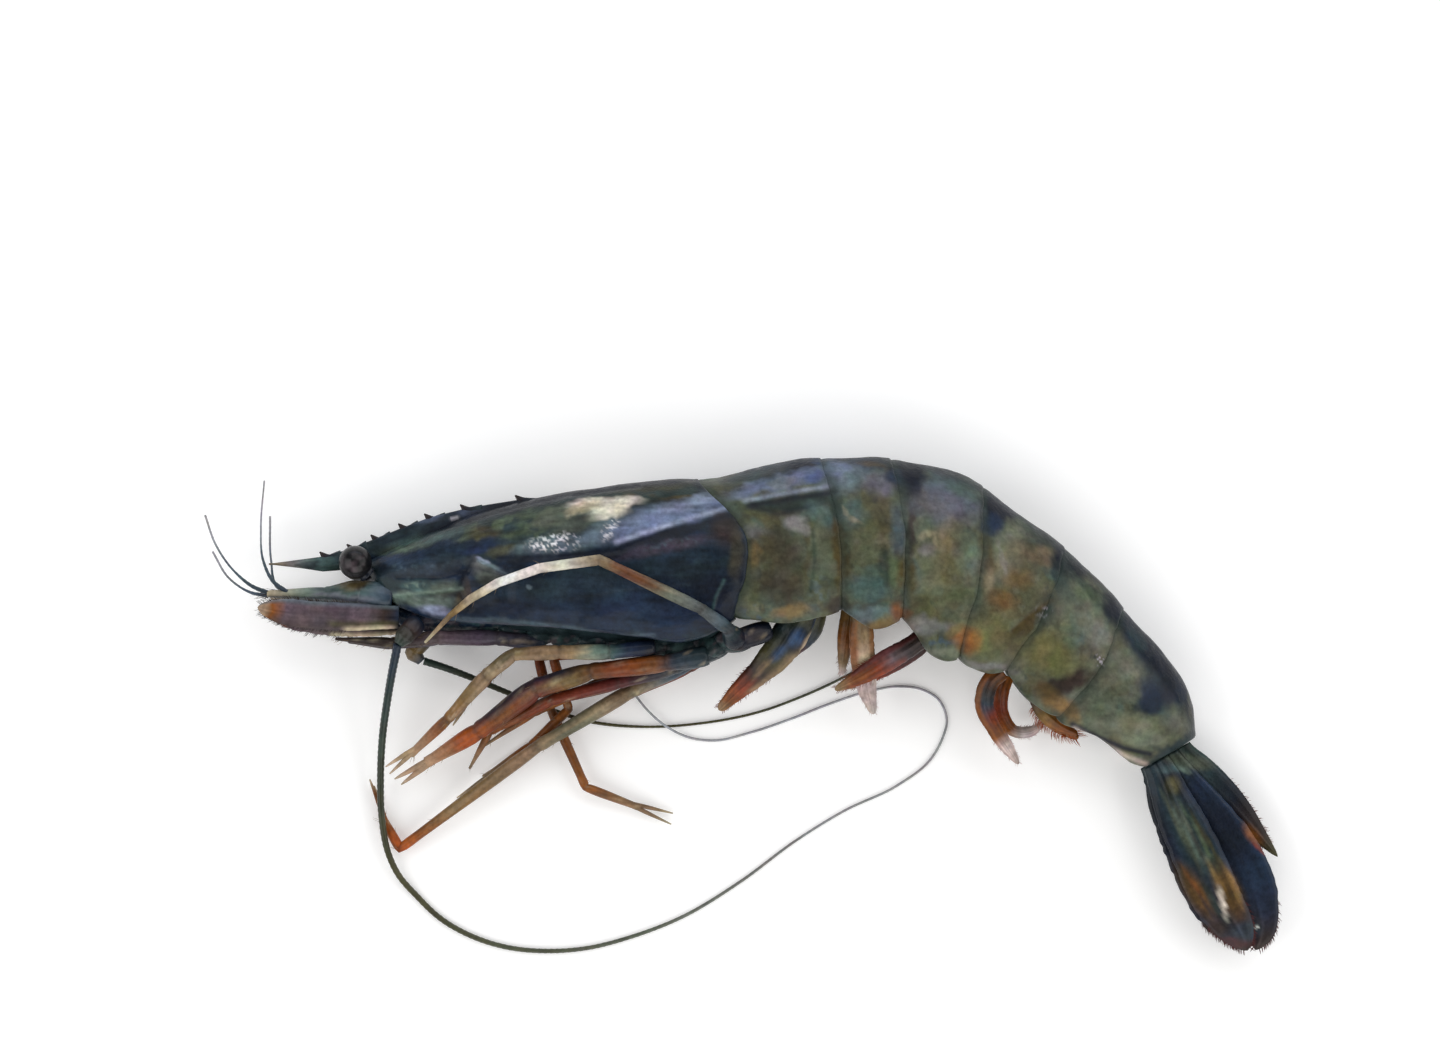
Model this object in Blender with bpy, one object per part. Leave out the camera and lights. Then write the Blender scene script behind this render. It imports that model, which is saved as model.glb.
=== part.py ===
"""Raw tiger prawn, lying on its right side: head towards -X, back towards +Y, left flank up. Metres, +Z up.

Every table below is in millimetres. Seen from above, the body is a strip between the line of the back and the
line of the belly, and each cross-section stands on the chord that joins the two.
"""

import math
from dataclasses import dataclass

import bmesh
import bpy
import numpy as np
from mathutils import Vector

MM = 0.001
GAP = 0.3

# Shares of a section's depth: where it is widest, how far lobes are cut up, how deep the belly's hollow is
WIDEST_AT = 0.45
LOBE_NOTCH = 0.055
BELLY_RECESS = 0.13
# How far a plate's hind edge stands out from the mean surface
SHELL_STEP = 0.45
ROSTRUM_THICKNESS = 1.7
TOOTH_HEIGHT = 1.0
TOOTH_LENGTH = 3.0
EYE_RADIUS = 3.0
LIMB_SIDES = 6
WHIP_SIDES = 6
CENTRING = Vector((-0.27, 0.23, 0.0))


@dataclass(frozen=True)
class Station:
    """One cross-section: where it meets back and belly, its half width, and how high its middle lies."""

    back: tuple
    belly: tuple
    half_width: float
    middle: float


BODY = (
    Station((-67.2, 26.1), (-61.8, 17.8), 5.0, 9.0),
    Station((-61.8, 28.6), (-57.0, 16.0), 6.8, 9.6),
    Station((-56.8, 30.8), (-51.6, 15.3), 8.2, 10.2),
    Station((-50.5, 33.5), (-45.3, 14.9), 9.4, 10.7),
    Station((-40.4, 36.4), (-37.2, 14.6), 10.6, 11.2),
    Station((-30.9, 38.3), (-28.7, 14.0), 11.3, 11.5),
    Station((-21.7, 39.6), (-19.7, 13.1), 11.8, 11.7),
    Station((-13.8, 40.3), (-10.2, 12.1), 11.8, 11.6),
    Station((-7.5, 40.7), (-0.6, 14.4), 11.3, 11.1),
    Station((6.0, 43.4), (7.8, 14.9), 11.0, 10.7),
    Station((14.5, 44.4), (18.3, 15.7), 11.1, 10.8),
    Station((21.3, 44.6), (23.5, 13.9), 11.1, 10.8),
    Station((27.3, 44.2), (29.1, 14.2), 11.0, 10.7),
    Station((34.8, 43.0), (33.5, 9.7), 10.8, 10.5),
    Station((43.8, 39.1), (38.9, 7.0), 10.4, 10.1),
    Station((51.9, 33.1), (43.7, 5.9), 9.9, 9.6),
    Station((58.6, 28.0), (47.1, 5.0), 9.4, 9.1),
    Station((64.6, 22.4), (52.0, 0.7), 8.8, 8.5),
    Station((69.2, 17.0), (57.4, -3.1), 8.2, 7.9),
    Station((76.2, 9.5), (65.2, -6.5), 7.6, 7.3),
    Station((80.7, 1.8), (69.3, -9.3), 6.8, 6.5),
    Station((82.0, -5.9), (72.2, -11.5), 6.0, 5.8),
)
CARAPACE_END = 8
SEGMENT_ENDS = (10, 12, 14, 16, 18, 21)
# How far each shell plate's hind edge bows backwards on the flank
CARAPACE_BOW = 5.6
PLATE_BOWS = (1.6, 1.5, 1.6, 1.4, 1.2, 0.0)

ROSTRUM_TOP = (
    (-30.0, 37.4), (-40.5, 36.9), (-45.6, 36.1), (-50.0, 35.3), (-56.2, 33.8), (-61.5, 31.8), (-66.7, 29.7),
    (-71.0, 28.0), (-75.0, 26.8), (-85.4, 25.4),
)
ROSTRUM_UNDER = ((-79.5, 24.6), (-75.5, 24.0), (-70.0, 24.4), (-64.0, 25.2), (-50.0, 29.0), (-30.0, 34.0))
TOOTH_PLACES = (-40.4, -50.3, -56.8, -61.5, -66.5, -70.8, -75.7)

STERNUM = ((-46.0, 20.0), (-40.0, 17.9), (-30.0, 16.2), (-18.0, 14.6), (-9.0, 15.0), (-3.2, 17.5))
STERNUM_HALF_DEPTH = 4.7
STERNUM_HALF_WIDTH = 6.0
STERNUM_MIDDLE = 11.2

# The base of the feelers and jaws, under the front of the head shell, with its half widths and half heights
JAW_BASE = ((-64.2, 17.6, 9.4), (-60.0, 16.1, 9.4), (-54.0, 15.5, 9.7), (-46.0, 16.0, 10.6), (-40.5, 16.6, 11.0))
JAW_BASE_WIDTHS = (1.2, 2.3, 2.3, 2.5, 2.6)
JAW_BASE_HEIGHTS = (1.4, 2.8, 3.0, 3.6, 3.8)


# Curves through the stations

def chord_middle(station):
    """The middle of a cross-section, seen from above."""
    return (Vector(station.back) + Vector(station.belly)) / 2


def arc_lengths(points):
    """How far along a chain of points each of them lies."""
    steps = [0.0] + [(Vector(b) - Vector(a)).length for a, b in zip(points, points[1:])]
    return np.cumsum(steps)


PLACES = arc_lengths([chord_middle(station) for station in BODY])
TABLE = np.array([[*s.back, *s.belly, s.half_width, s.middle] for s in BODY])
SLOPES = np.gradient(TABLE, PLACES, axis=0)


def smooth(place, places, values, slopes):
    """Values on a smooth curve through a table's rows."""
    k = int(np.clip(np.searchsorted(places, place) - 1, 0, len(places) - 2))
    span = places[k + 1] - places[k]
    t = (place - places[k]) / span
    return (
        values[k] * (2 * t**3 - 3 * t**2 + 1)
        + values[k + 1] * (3 * t**2 - 2 * t**3)
        + slopes[k] * span * (t**3 - 2 * t**2 + t)
        + slopes[k + 1] * span * (t**3 - t**2)
    )


def body_point(place, up, out, swell=0.0):
    """A point of the body: up is 0 at the belly edge and 1 at the back, out the share of the half width."""
    row = smooth(place, PLACES, TABLE, SLOPES)
    back, belly = Vector(row[0:2]), Vector(row[2:4])
    depth = (back - belly).length
    up = WIDEST_AT + (up - WIDEST_AT) * (1 + swell / (depth / 2))
    flat = belly + (back - belly) * up
    height = row[5] + out * (row[4] + swell)
    return Vector((flat.x, flat.y, max(height, 0.0)))


def half_ring(recess):
    """(up, out, bowing height) from the back down one flank to the middle of the belly, which isn't bowed."""
    arch = [math.radians(a) for a in (0, 20, 40, 60, 80)]
    flank = [(WIDEST_AT + (1 - WIDEST_AT) * math.cos(a), math.sin(a)) for a in arch]
    flank += [(0.30, 0.985), (0.16, 0.94), (0.06, 0.87), (0.0, 0.79)]
    if recess:
        belly = [(0.0, 0.66), (BELLY_RECESS, 0.45), (BELLY_RECESS - 0.01, 0.0)]
    else:
        belly = [(-0.01, 0.5), (-0.015, 0.0)]
    return [(up, out, up) for up, out in flank] + [(up, out, 0.0) for up, out in belly]


def full_ring(recess):
    """The whole cross-section: the left flank downwards, then the right flank upwards."""
    half = half_ring(recess)
    return half + [(up, -out, bowed) for up, out, bowed in reversed(half[1:-1])]


# Meshes

def closed_mesh(name, rings, start=None, end=None):
    """Joins rings of points with faces and closes both ends round a middle point."""
    shape = bmesh.new()
    rows = [[shape.verts.new(Vector(p) * MM) for p in ring] for ring in rings]
    count = len(rows[0])
    for first, second in zip(rows, rows[1:]):
        for i in range(count):
            j = (i + 1) % count
            shape.faces.new((first[i], first[j], second[j], second[i]))
    for ring, point, turn in ((rows[0], start, True), (rows[-1], end, False)):
        middle = sum((v.co for v in ring), Vector()) / count if point is None else Vector(point) * MM
        hub = shape.verts.new(middle)
        for i in range(count):
            pair = (ring[(i + 1) % count], ring[i]) if turn else (ring[i], ring[(i + 1) % count])
            shape.faces.new((*pair, hub))
    bmesh.ops.triangulate(shape, faces=shape.faces[:])
    if shape.calc_volume(signed=True) < 0:
        bmesh.ops.reverse_faces(shape, faces=shape.faces[:])
    shape.normal_update()
    mesh = bpy.data.meshes.new(name)
    shape.to_mesh(mesh)
    shape.free()
    thing = bpy.data.objects.new(name, mesh)
    bpy.context.scene.collection.objects.link(thing)
    return thing


def bow_at(amount, up):
    """How far a plate's edge reaches back at this height on the flank: none at the back and the belly."""
    return amount * math.sin(math.pi * min(max(up, 0.0), 1.0)) ** 1.3


def lobe(t, lobed):
    """How far the belly edge is cut up, at a share of a plate's length: for a lobe, or for a hind corner."""
    if lobed:
        return LOBE_NOTCH * (1 - math.sin(math.pi * t) ** 0.6)
    return LOBE_NOTCH * max(0.0, (t - 0.86) / 0.14) ** 2


def plate(name, start, end, start_bow, end_bow, rows, recess, front_step, lobed):
    """One ring of shell, closed at both ends, whose hind edge stands proud of the next plate's front."""
    rings = []
    for i in range(rows + 1):
        t = i / rows
        swell = SHELL_STEP * (2 * t - 1 if front_step else max(0.0, 2 * t - 1))
        notch = lobe(t, lobed)
        ring = []
        for up, out, bowed in full_ring(recess):
            first, last = start + bow_at(start_bow, bowed), end + bow_at(end_bow, bowed)
            ring.append(body_point(first + t * (last - first), notch + up * (1 - notch), out, swell))
        rings.append(ring)
    hubs = [body_point(place, WIDEST_AT, 0.0) for place in (start, end)]
    return closed_mesh(name, rings, *hubs)


def sweep(name, points, widths, heights, sides=LIMB_SIDES):
    """A closed tube through points, with its own half width in the plane and half height at each."""
    path = [Vector(p) for p in points]
    rings = []
    for i, here in enumerate(path):
        before, after = path[max(i - 1, 0)], path[min(i + 1, len(path) - 1)]
        ahead = ((here - before).normalized() + (after - here).normalized()).normalized()
        side = ahead.cross(Vector((0, 0, 1))).normalized()
        above = side.cross(ahead)
        ring = []
        for k in range(sides):
            a = math.tau * (k + 0.5) / sides
            ring.append(here + side * widths[i] * math.cos(a) + above * heights[i] * math.sin(a))
        rings.append(ring)
    return closed_mesh(name, rings)


def read_curve(points, count):
    """Points a steady distance apart on a smooth curve through a route."""
    route = np.array(points, float)
    places = arc_lengths(points)
    slopes = np.gradient(route, places, axis=0)
    return [smooth(p, places, route, slopes) for p in np.linspace(0, places[-1], count)]


def fuse(name, pieces):
    """One solid made of overlapping pieces."""
    if len(pieces) == 1:
        pieces[0].name = pieces[0].data.name = name
        return pieces[0]
    body, others = pieces[0], pieces[1:]
    group = bpy.data.collections.new(name + "_pieces")
    for other in others:
        group.objects.link(other)
    union = body.modifiers.new("Union", "BOOLEAN")
    union.operation = "UNION"
    union.operand_type = "COLLECTION"
    union.collection = group
    union.solver = "MANIFOLD"
    bpy.context.view_layer.update()
    graph = bpy.context.evaluated_depsgraph_get()
    joined = bpy.data.meshes.new_from_object(body.evaluated_get(graph))
    body.modifiers.clear()
    body.data = joined
    for other in others:
        bpy.data.objects.remove(other)
    bpy.data.collections.remove(group)
    body.name = joined.name = name
    return body


# Limbs

def limb_rings(joints, radii):
    """Rings along a jointed limb: each length is thin at its joints and fullest soon after the first."""
    points, sizes = [], []
    last = len(joints) - 2
    for i, (a, b) in enumerate(zip(joints, joints[1:])):
        a, b = Vector(a), Vector(b)
        shares = ((0.0, 0.82), (0.3, 1.0), (0.88, 0.86))
        for share, fullness in shares:
            points.append(a.lerp(b, share))
            sizes.append(fullness * (radii[i] + (radii[i + 1] - radii[i]) * share))
        if i == last:
            points.append(b)
            sizes.append(radii[i + 1])
    return points, sizes


def limb(name, joints, radii, fingers=()):
    """A walking leg or mouth limb, with the fingers of its pincer, if it has one, as (tip, tip)."""
    points, sizes = limb_rings(joints, radii)
    pieces = [sweep(name, points, sizes, sizes)]
    for i, tip in enumerate(fingers):
        root = Vector(joints[-1]).lerp(Vector(joints[-2]), 0.25)
        thick = radii[-1] * 0.62
        sizes = [thick, thick * 0.9, 0.2]
        pieces.append(sweep(f"{name}_finger_{i}", [root, root.lerp(Vector(tip), 0.5), tip], sizes, sizes, 5))
    return fuse(name, pieces)


LEGS = {
    "leg_1_left": (
        ((-15.5, 10.6, 17.6), (-23.7, 9.6, 17.0), (-32.7, 9.6, 17.2), (-41.0, 9.2, 16.6), (-45.9, 5.3, 14.2),
         (-53.0, -2.6, 10.2), (-59.8, -9.1, 6.4)),
        (1.4, 1.5, 1.4, 1.3, 1.4, 1.1, 0.8),
        ((-64.3, -11.3, 6.2), (-63.6, -12.6, 5.6)),
    ),
    "leg_2_left": (
        ((-6.0, 9.0, 16.4), (-13.6, 7.6, 16.4), (-27.1, 6.1, 14.8), (-37.1, 3.0, 12.7), (-47.5, -4.8, 9.0),
         (-57.0, -10.6, 5.4)),
        (2.0, 1.7, 1.7, 2.1, 1.8, 1.1),
        ((-62.8, -13.6, 3.6), (-61.6, -14.6, 3.4)),
    ),
    "leg_3_left": (
        ((-3.2, 11.0, 8.2), (-9.6, 7.6, 8.7), (-19.9, 2.5, 8.5), (-36.8, -7.6, 6.6), (-61.9, -26.3, 1.7),
         (-65.2, -20.4, 1.1)),
        (2.2, 1.7, 1.5, 1.3, 0.95, 0.8),
        ((-67.4, -13.7, 1.2), (-66.6, -14.9, 1.0)),
    ),
    "leg_4_left": (
        ((-4.2, 10.3, 12.4), (-12.2, 6.8, 12.5), (-22.2, 4.0, 12.0), (-34.3, 0.9, 10.5), (-45.5, -5.0, 6.9),
         (-49.2, -11.7, 5.2)),
        (1.9, 1.5, 1.3, 1.2, 0.8, 0.25),
        (),
    ),
    "leg_5_left": (
        ((5.0, 13.6, 16.2), (-1.0, 11.7, 18.3), (-2.6, 14.0, 22.4), (-7.3, 17.5, 25.0), (-25.4, 26.2, 25.4),
         (-36.1, 24.7, 24.5), (-43.5, 22.1, 23.0), (-48.5, 19.2, 21.5), (-52.2, 16.2, 19.9),
         (-56.8, 11.3, 17.6)),
        (1.9, 2.3, 1.3, 1.15, 1.05, 0.95, 0.87, 0.8, 0.55, 0.25),
        (),
    ),
    "leg_1_right": (
        ((-25.5, 9.5, 9.4), (-40.8, 9.2, 9.4), (-45.3, 5.2, 9.0), (-50.3, -0.2, 8.2)),
        (1.1, 1.0, 1.0, 0.7),
        ((-52.1, -3.8, 7.6), (-52.9, -3.0, 7.6)),
    ),
    "leg_2_right": (
        ((-18.3, 9.7, 6.6), (-34.1, 8.7, 6.3), (-31.2, -0.9, 5.6), (-38.1, -7.5, 4.4), (-46.4, -13.3, 2.6)),
        (1.0, 0.95, 0.9, 0.85, 0.6),
        ((-51.6, -17.1, 1.4), (-51.0, -18.2, 1.4)),
    ),
    "leg_3_right": (
        ((-21.9, 9.9, 3.6), (-36.8, 8.6, 3.8), (-34.5, -1.0, 3.2), (-28.2, -15.1, 2.4), (-18.3, -18.9, 1.5)),
        (1.0, 0.95, 0.95, 0.9, 0.7),
        ((-12.4, -19.9, 0.8), (-12.7, -21.9, 0.8)),
    ),
    "leg_4_right": (
        ((-7.5, 9.5, 6.0), (-18.3, 6.9, 5.9), (-27.5, 3.2, 7.9), (-37.6, -1.6, 7.6), (-46.6, -7.6, 4.6)),
        (1.1, 1.1, 0.95, 0.8, 0.25),
        (),
    ),
    "leg_5_right": (
        ((-3.0, 11.0, 4.0), (-9.6, 6.6, 4.0), (-19.4, 2.0, 3.2), (-27.0, -1.5, 2.3), (-33.5, -4.8, 0.8),
         (-47.0, -13.2, 0.6)),
        (1.9, 1.2, 0.9, 0.7, 0.55, 0.25),
        (),
    ),
    "mouth_limb_left": (
        ((-35.4, 11.0, 13.2), (-44.0, 12.1, 13.2), (-54.8, 12.2, 13.0), (-63.1, 11.2, 12.0),
         (-73.2, 11.9, 10.6)),
        (1.4, 1.5, 1.4, 1.1, 0.3),
        (),
    ),
    "mouth_limb_right": (
        ((-35.4, 11.4, 6.2), (-46.0, 11.9, 6.6), (-54.8, 11.8, 8.5), (-63.1, 10.8, 9.1), (-71.0, 11.3, 8.2)),
        (1.2, 1.3, 1.2, 1.0, 0.3),
        (),
    ),
}


# Whips

ANTENNA_LEFT_STEM = ((-58.3, 14.8, 14.0), (-60.4, 12.6, 16.2), (-61.6, 11.0, 16.2))
ANTENNA_LEFT = (
    (-61.7, 11.0, 16.2), (-62.6, 7.0, 14.2), (-63.8, 1.0, 10.0), (-64.9, -6.3, 6.4), (-65.3, -13.5, 4.3),
    (-65.1, -20.7, 3.4), (-63.9, -27.3, 2.3), (-62.2, -31.0, 1.3), (-58.8, -35.0, 0.6), (-54.7, -38.9, 0.5),
    (-48.7, -42.3, 0.4), (-42.6, -44.2, 0.4), (-35.8, -44.9, 0.3), (-28.2, -44.4, 0.3), (-19.9, -42.3, 0.3),
    (-10.9, -38.8, 0.3), (-0.3, -32.4, 0.3), (10.0, -24.8, 0.3), (18.8, -19.4, 0.3), (28.4, -14.8, 0.3),
    (34.2, -10.3, 0.3), (36.5, -6.3, 0.3), (37.3, -3.2, 0.3), (35.8, 0.7, 0.3), (32.6, 2.6, 0.3),
    (28.6, 3.1, 0.3), (23.1, 2.2, 0.3), (15.9, -0.1, 0.3), (8.7, -2.9, 0.3), (1.5, -5.3, 0.3),
    (-4.8, -6.7, 0.3), (-9.3, -6.2, 0.4), (-13.8, -4.0, 1.2), (-17.4, -0.8, 0.9), (-19.3, 1.6, 0.6),
)
ANTENNA_RIGHT_STEM = ((-57.2, 12.0, 5.6), (-59.4, 9.4, 5.4), (-57.8, 7.7, 5.4))
ANTENNA_RIGHT = (
    (-57.4, 7.8, 5.4), (-54.5, 6.9, 5.4), (-48.9, 4.8, 4.2), (-43.5, 2.5, 2.6), (-36.3, -0.4, 0.9),
    (-27.3, -3.3, 0.55), (-18.3, -4.2, 0.5), (-7.5, -3.6, 0.45), (4.3, -1.2, 0.4), (10.3, 1.0, 0.35),
    (15.8, 3.4, 0.35), (22.0, 6.6, 0.35),
)
ANTENNULES = {
    "antennule_left": (
        ((-65.2, 19.9, 11.8), (-69.0, 20.2, 11.8), (-75.0, 20.0, 11.9), (-85.4, 20.0, 11.9)),
        (2.2, 2.6, 1.35, 0.7),
        ((-85.0, 20.1, 11.9), (-88.1, 21.4, 12.2), (-91.0, 23.8, 12.6), (-94.6, 28.9, 13.0),
         (-96.5, 34.2, 13.0)),
        ((-81.6, 20.2, 12.2), (-84.2, 22.2, 13.0), (-86.0, 26.0, 13.6), (-86.4, 32.0, 13.8),
         (-85.8, 40.4, 13.6)),
    ),
    "antennule_right": (
        ((-64.2, 18.9, 7.4), (-71.0, 19.3, 7.4), (-79.0, 19.4, 7.4), (-85.0, 19.5, 7.4)),
        (1.3, 1.2, 1.0, 0.65),
        ((-84.6, 19.6, 7.4), (-88.6, 20.2, 7.0), (-92.6, 22.8, 6.4), (-95.6, 27.6, 6.0)),
        ((-81.2, 19.8, 7.4), (-84.0, 21.4, 6.8), (-85.0, 26.0, 6.2), (-85.2, 34.0, 6.0)),
    ),
}


def whip(name, route, first, last, count, stem=None, stem_radii=()):
    """A tapering feeler, with the jointed stem that it grows from."""
    points = read_curve(route, count)
    shares = np.linspace(0, 1, count)
    radii = [max(last, first * (1 - share) ** 1.5) for share in shares]
    points = [(x, y, max(z, radius + 0.02)) for (x, y, z), radius in zip(points, radii)]
    pieces = [sweep(name, points, radii, radii, WHIP_SIDES)]
    if stem:
        pieces.insert(0, sweep(name + "_stem", stem, stem_radii, stem_radii, 8))
    return fuse(name, pieces)


def antennule(name, stem, radii, upper, lower):
    """The small feeler over the mouth: a jointed stem and two hair-thin whips."""
    points, sizes = limb_rings(stem, radii)
    hairs = [whip(f"{name}_{i}", route, 0.45, 0.2, 9) for i, route in enumerate((upper, lower))]
    return fuse(name, [sweep(name, points, sizes, sizes, 8), *hairs])


# Blades: swimming limbs, antennal scales and the tail fan

SWIMMERS = {
    "swimmer_1_left": (
        ((11.6, 17.2, 13.5), (9.3, 13.6, 13.5), (6.6, 9.5, 12.9), (3.3, 6.0, 12.0), (-0.6, 2.5, 10.8),
         (-4.1, -1.0, 9.4)),
        (2.3, 3.2, 3.0, 2.3, 1.6, 0.8), (1.6, 1.7, 1.4, 1.0, 0.8, 0.4),
    ),
    "swimmer_1_right": (
        ((13.6, 17.2, 8.3), (12.2, 13.8, 8.3), (8.6, 10.2, 7.6), (4.8, 7.0, 6.4), (1.0, 4.4, 5.4)),
        (2.0, 2.4, 2.0, 1.5, 0.6), (1.6, 1.6, 1.1, 0.7, 0.3),
    ),
    "swimmer_2_left": (
        ((21.7, 17.0, 13.3), (21.6, 12.4, 12.9), (22.0, 7.2, 10.8), (22.7, 2.6, 8.4), (23.9, -1.8, 6.8)),
        (2.0, 2.2, 2.2, 1.7, 0.6), (1.4, 1.2, 0.7, 0.5, 0.25),
    ),
    "swimmer_2_right": (
        ((19.7, 17.0, 8.3), (18.8, 12.0, 8.1), (18.4, 8.2, 7.4), (18.1, 5.2, 6.6)),
        (1.7, 1.5, 1.0, 0.4), (1.3, 1.1, 0.7, 0.25),
    ),
    "swimmer_3_left": (
        ((33.6, 12.9, 13.0), (30.6, 10.7, 13.4), (26.4, 8.2, 13.2), (21.8, 5.4, 12.4), (16.8, 2.7, 11.6)),
        (1.8, 1.8, 2.0, 1.6, 0.5), (1.5, 1.3, 0.8, 0.6, 0.25),
    ),
    "swimmer_3_right": (
        ((34.2, 12.5, 7.6), (31.0, 9.7, 7.6), (27.2, 7.5, 6.4), (22.8, 5.0, 5.2), (18.8, 2.9, 4.4)),
        (1.7, 1.7, 1.8, 1.3, 0.5), (1.4, 1.2, 0.8, 0.6, 0.25),
    ),
    "swimmer_4_left": (
        ((46.9, 6.1, 11.4), (44.7, 4.1, 11.6), (43.7, 0.4, 11.0), (45.6, -4.1, 9.0), (48.0, -7.8, 7.8),
         (50.1, -10.8, 7.0)),
        (1.6, 1.7, 1.7, 1.5, 1.2, 0.4), (1.4, 1.2, 0.9, 0.6, 0.5, 0.25),
    ),
    "swimmer_4_right": (
        ((47.8, 5.2, 6.6), (46.8, 1.8, 6.6), (47.1, -1.8, 5.4), (49.4, -4.9, 4.4), (52.3, -5.0, 3.8),
         (54.8, -3.3, 3.4)),
        (1.5, 1.5, 1.3, 1.1, 1.0, 0.4), (1.3, 1.0, 0.7, 0.5, 0.4, 0.25),
    ),
    "swimmer_5_left": (
        ((53.4, 1.2, 9.8), (54.7, -1.3, 10.0), (57.2, -3.6, 9.6), (60.6, -5.4, 9.0)),
        (1.6, 1.7, 1.4, 0.5), (1.2, 1.1, 0.8, 0.25),
    ),
    "swimmer_5_right": (
        ((53.8, 1.0, 5.8), (55.1, -1.7, 5.6), (57.8, -4.2, 5.0), (61.0, -6.2, 4.4)),
        (1.5, 1.6, 1.3, 0.5), (1.1, 1.0, 0.7, 0.25),
    ),
}
SCALES = {
    "antennal_scale_left": (
        ((-61.6, 15.8, 14.2), (-70.0, 15.9, 14.3), (-77.0, 16.2, 14.3), (-83.5, 17.0, 14.2),
         (-87.0, 17.6, 14.1)),
        (2.0, 2.5, 2.5, 2.1, 0.7), (0.5, 0.55, 0.55, 0.45, 0.3),
    ),
    "antennal_scale_right": (
        ((-61.6, 14.6, 4.9), (-70.0, 14.7, 4.9), (-77.0, 15.2, 4.9), (-82.5, 16.2, 4.9), (-86.0, 17.0, 4.9)),
        (2.0, 2.5, 2.5, 2.1, 0.7), (0.5, 0.55, 0.55, 0.45, 0.3),
    ),
}
TAIL = {
    "telson": (
        ((78.81, -8.12, 5.2), (79.5, -9.3, 5.2), (83.4, -13.2, 5.2), (89.6, -19.4, 5.2), (94.2, -24.4, 5.2),
         (97.0, -27.6, 5.2)),
        (2.6, 2.9, 3.4, 2.8, 1.3, 0.25), (0.8, 0.8, 0.8, 0.7, 0.5, 0.25),
    ),
    "tail_fan_outer_left": (
        ((74.71, -10.47, 8.4), (75.3, -11.5, 8.5), (78.0, -18.0, 9.6), (81.8, -26.2, 9.9), (86.0, -35.4, 9.2),
         (89.8, -41.4, 8.4),
         (91.4, -44.4, 7.8)),
        (2.5, 2.7, 3.8, 4.5, 4.4, 3.0, 1.0), (1.2, 1.2, 1.0, 0.7, 0.55, 0.5, 0.3),
    ),
    "tail_fan_inner_left": (
        ((77.07, -9.12, 6.7), (77.75, -10.3, 6.75), (83.6, -19.0, 7.4), (89.4, -27.9, 7.6), (92.8, -36.0, 7.2),
         (93.7, -41.0, 6.8),
         (93.0, -44.4, 6.4)),
        (1.8, 2.1, 3.9, 4.9, 4.3, 2.8, 0.9), (0.4, 0.4, 0.5, 0.5, 0.45, 0.4, 0.3),
    ),
    "tail_fan_inner_right": (
        ((76.9, -9.22, 3.3), (77.6, -10.45, 3.3), (83.2, -19.6, 3.1), (88.8, -28.4, 3.1), (92.0, -36.2, 2.9),
         (92.8, -41.0, 2.8),
         (92.2, -44.0, 2.7)),
        (1.8, 2.1, 3.7, 4.3, 3.9, 2.7, 0.9), (0.5, 0.5, 0.5, 0.5, 0.45, 0.4, 0.3),
    ),
    "tail_fan_outer_right": (
        ((74.54, -10.57, 1.4), (75.1, -11.56, 1.4), (77.8, -18.6, 1.2), (81.4, -26.6, 1.1), (85.4, -35.2, 1.1),
         (89.0, -41.0, 1.1),
         (90.4, -43.9, 1.1)),
        (2.5, 2.7, 3.8, 4.5, 4.4, 3.0, 1.0), (0.9, 0.9, 0.7, 0.55, 0.5, 0.45, 0.3),
    ),
}


def blade(name, points, widths, heights, count=7, footed=False):
    """A flat limb with rounded edges, wide in the plane that the prawn lies in.

    A footed one has a ring at its second point too, so that its root lies square to the line between them.
    """
    table = np.array([[*p, w, h] for p, w, h in zip(points, widths, heights)])
    places = arc_lengths(points)
    slopes = np.gradient(table, places, axis=0)
    spots = np.linspace(0, places[-1], count)
    if footed:
        spots = np.concatenate([[0.0], np.linspace(places[1], places[-1], count)])
    rows = [smooth(p, places, table, slopes) for p in spots]
    return sweep(name, [r[:3] for r in rows], [r[3] for r in rows], [r[4] for r in rows], 8)


# Head

def crest_middle(x):
    """Height of the beak's blade, which climbs to the middle of the back as the head widens."""
    return float(np.interp(x, [-67.0, -50.0, -30.0], [9.0, 10.7, 11.5]))


def rostrum():
    """The beak: a thin upright blade that runs back into the ridge of the head."""
    top = np.array(sorted(ROSTRUM_TOP))
    under = np.array(sorted(ROSTRUM_UNDER + ((-85.4, 25.3),)))
    tip, root = top[0, 0], top[-1, 0]
    rings = []
    for x in np.linspace(tip + 0.15, root, 20):
        share = (x - tip) / (root - tip)
        y1, y0 = np.interp(x, top[:, 0], top[:, 1]), np.interp(x, under[:, 0], under[:, 1])
        half = ROSTRUM_THICKNESS / 2 * min(1.0, 0.3 + 3.0 * share)
        half_depth = max((y1 - y0) / 2, 0.18)
        turns = [math.tau * k / 8 for k in range(8)]
        rings.append([
            (x, (y1 + y0) / 2 + half_depth * math.cos(a), crest_middle(x) + half * math.sin(a)) for a in turns
        ])
    return closed_mesh("rostrum", rings)


def tooth(x, number):
    """One forward-pointing tooth of the beak, a low flat cone sunk into the crest."""
    top = np.array(sorted(ROSTRUM_TOP))
    here, behind = np.interp([x, x + TOOTH_LENGTH], top[:, 0], top[:, 1])
    middle = crest_middle(x)
    root = (x + TOOTH_LENGTH, behind - 0.7 * TOOTH_HEIGHT, middle)
    bend = (x + 0.4 * TOOTH_LENGTH, here - 0.1 * TOOTH_HEIGHT, middle)
    tip = (x - 0.5 * TOOTH_HEIGHT, here + TOOTH_HEIGHT, middle)
    return sweep(f"tooth_{number}", (root, bend, tip), [1.0, 0.8, 0.12], [0.6, 0.45, 0.12], 5)


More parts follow.
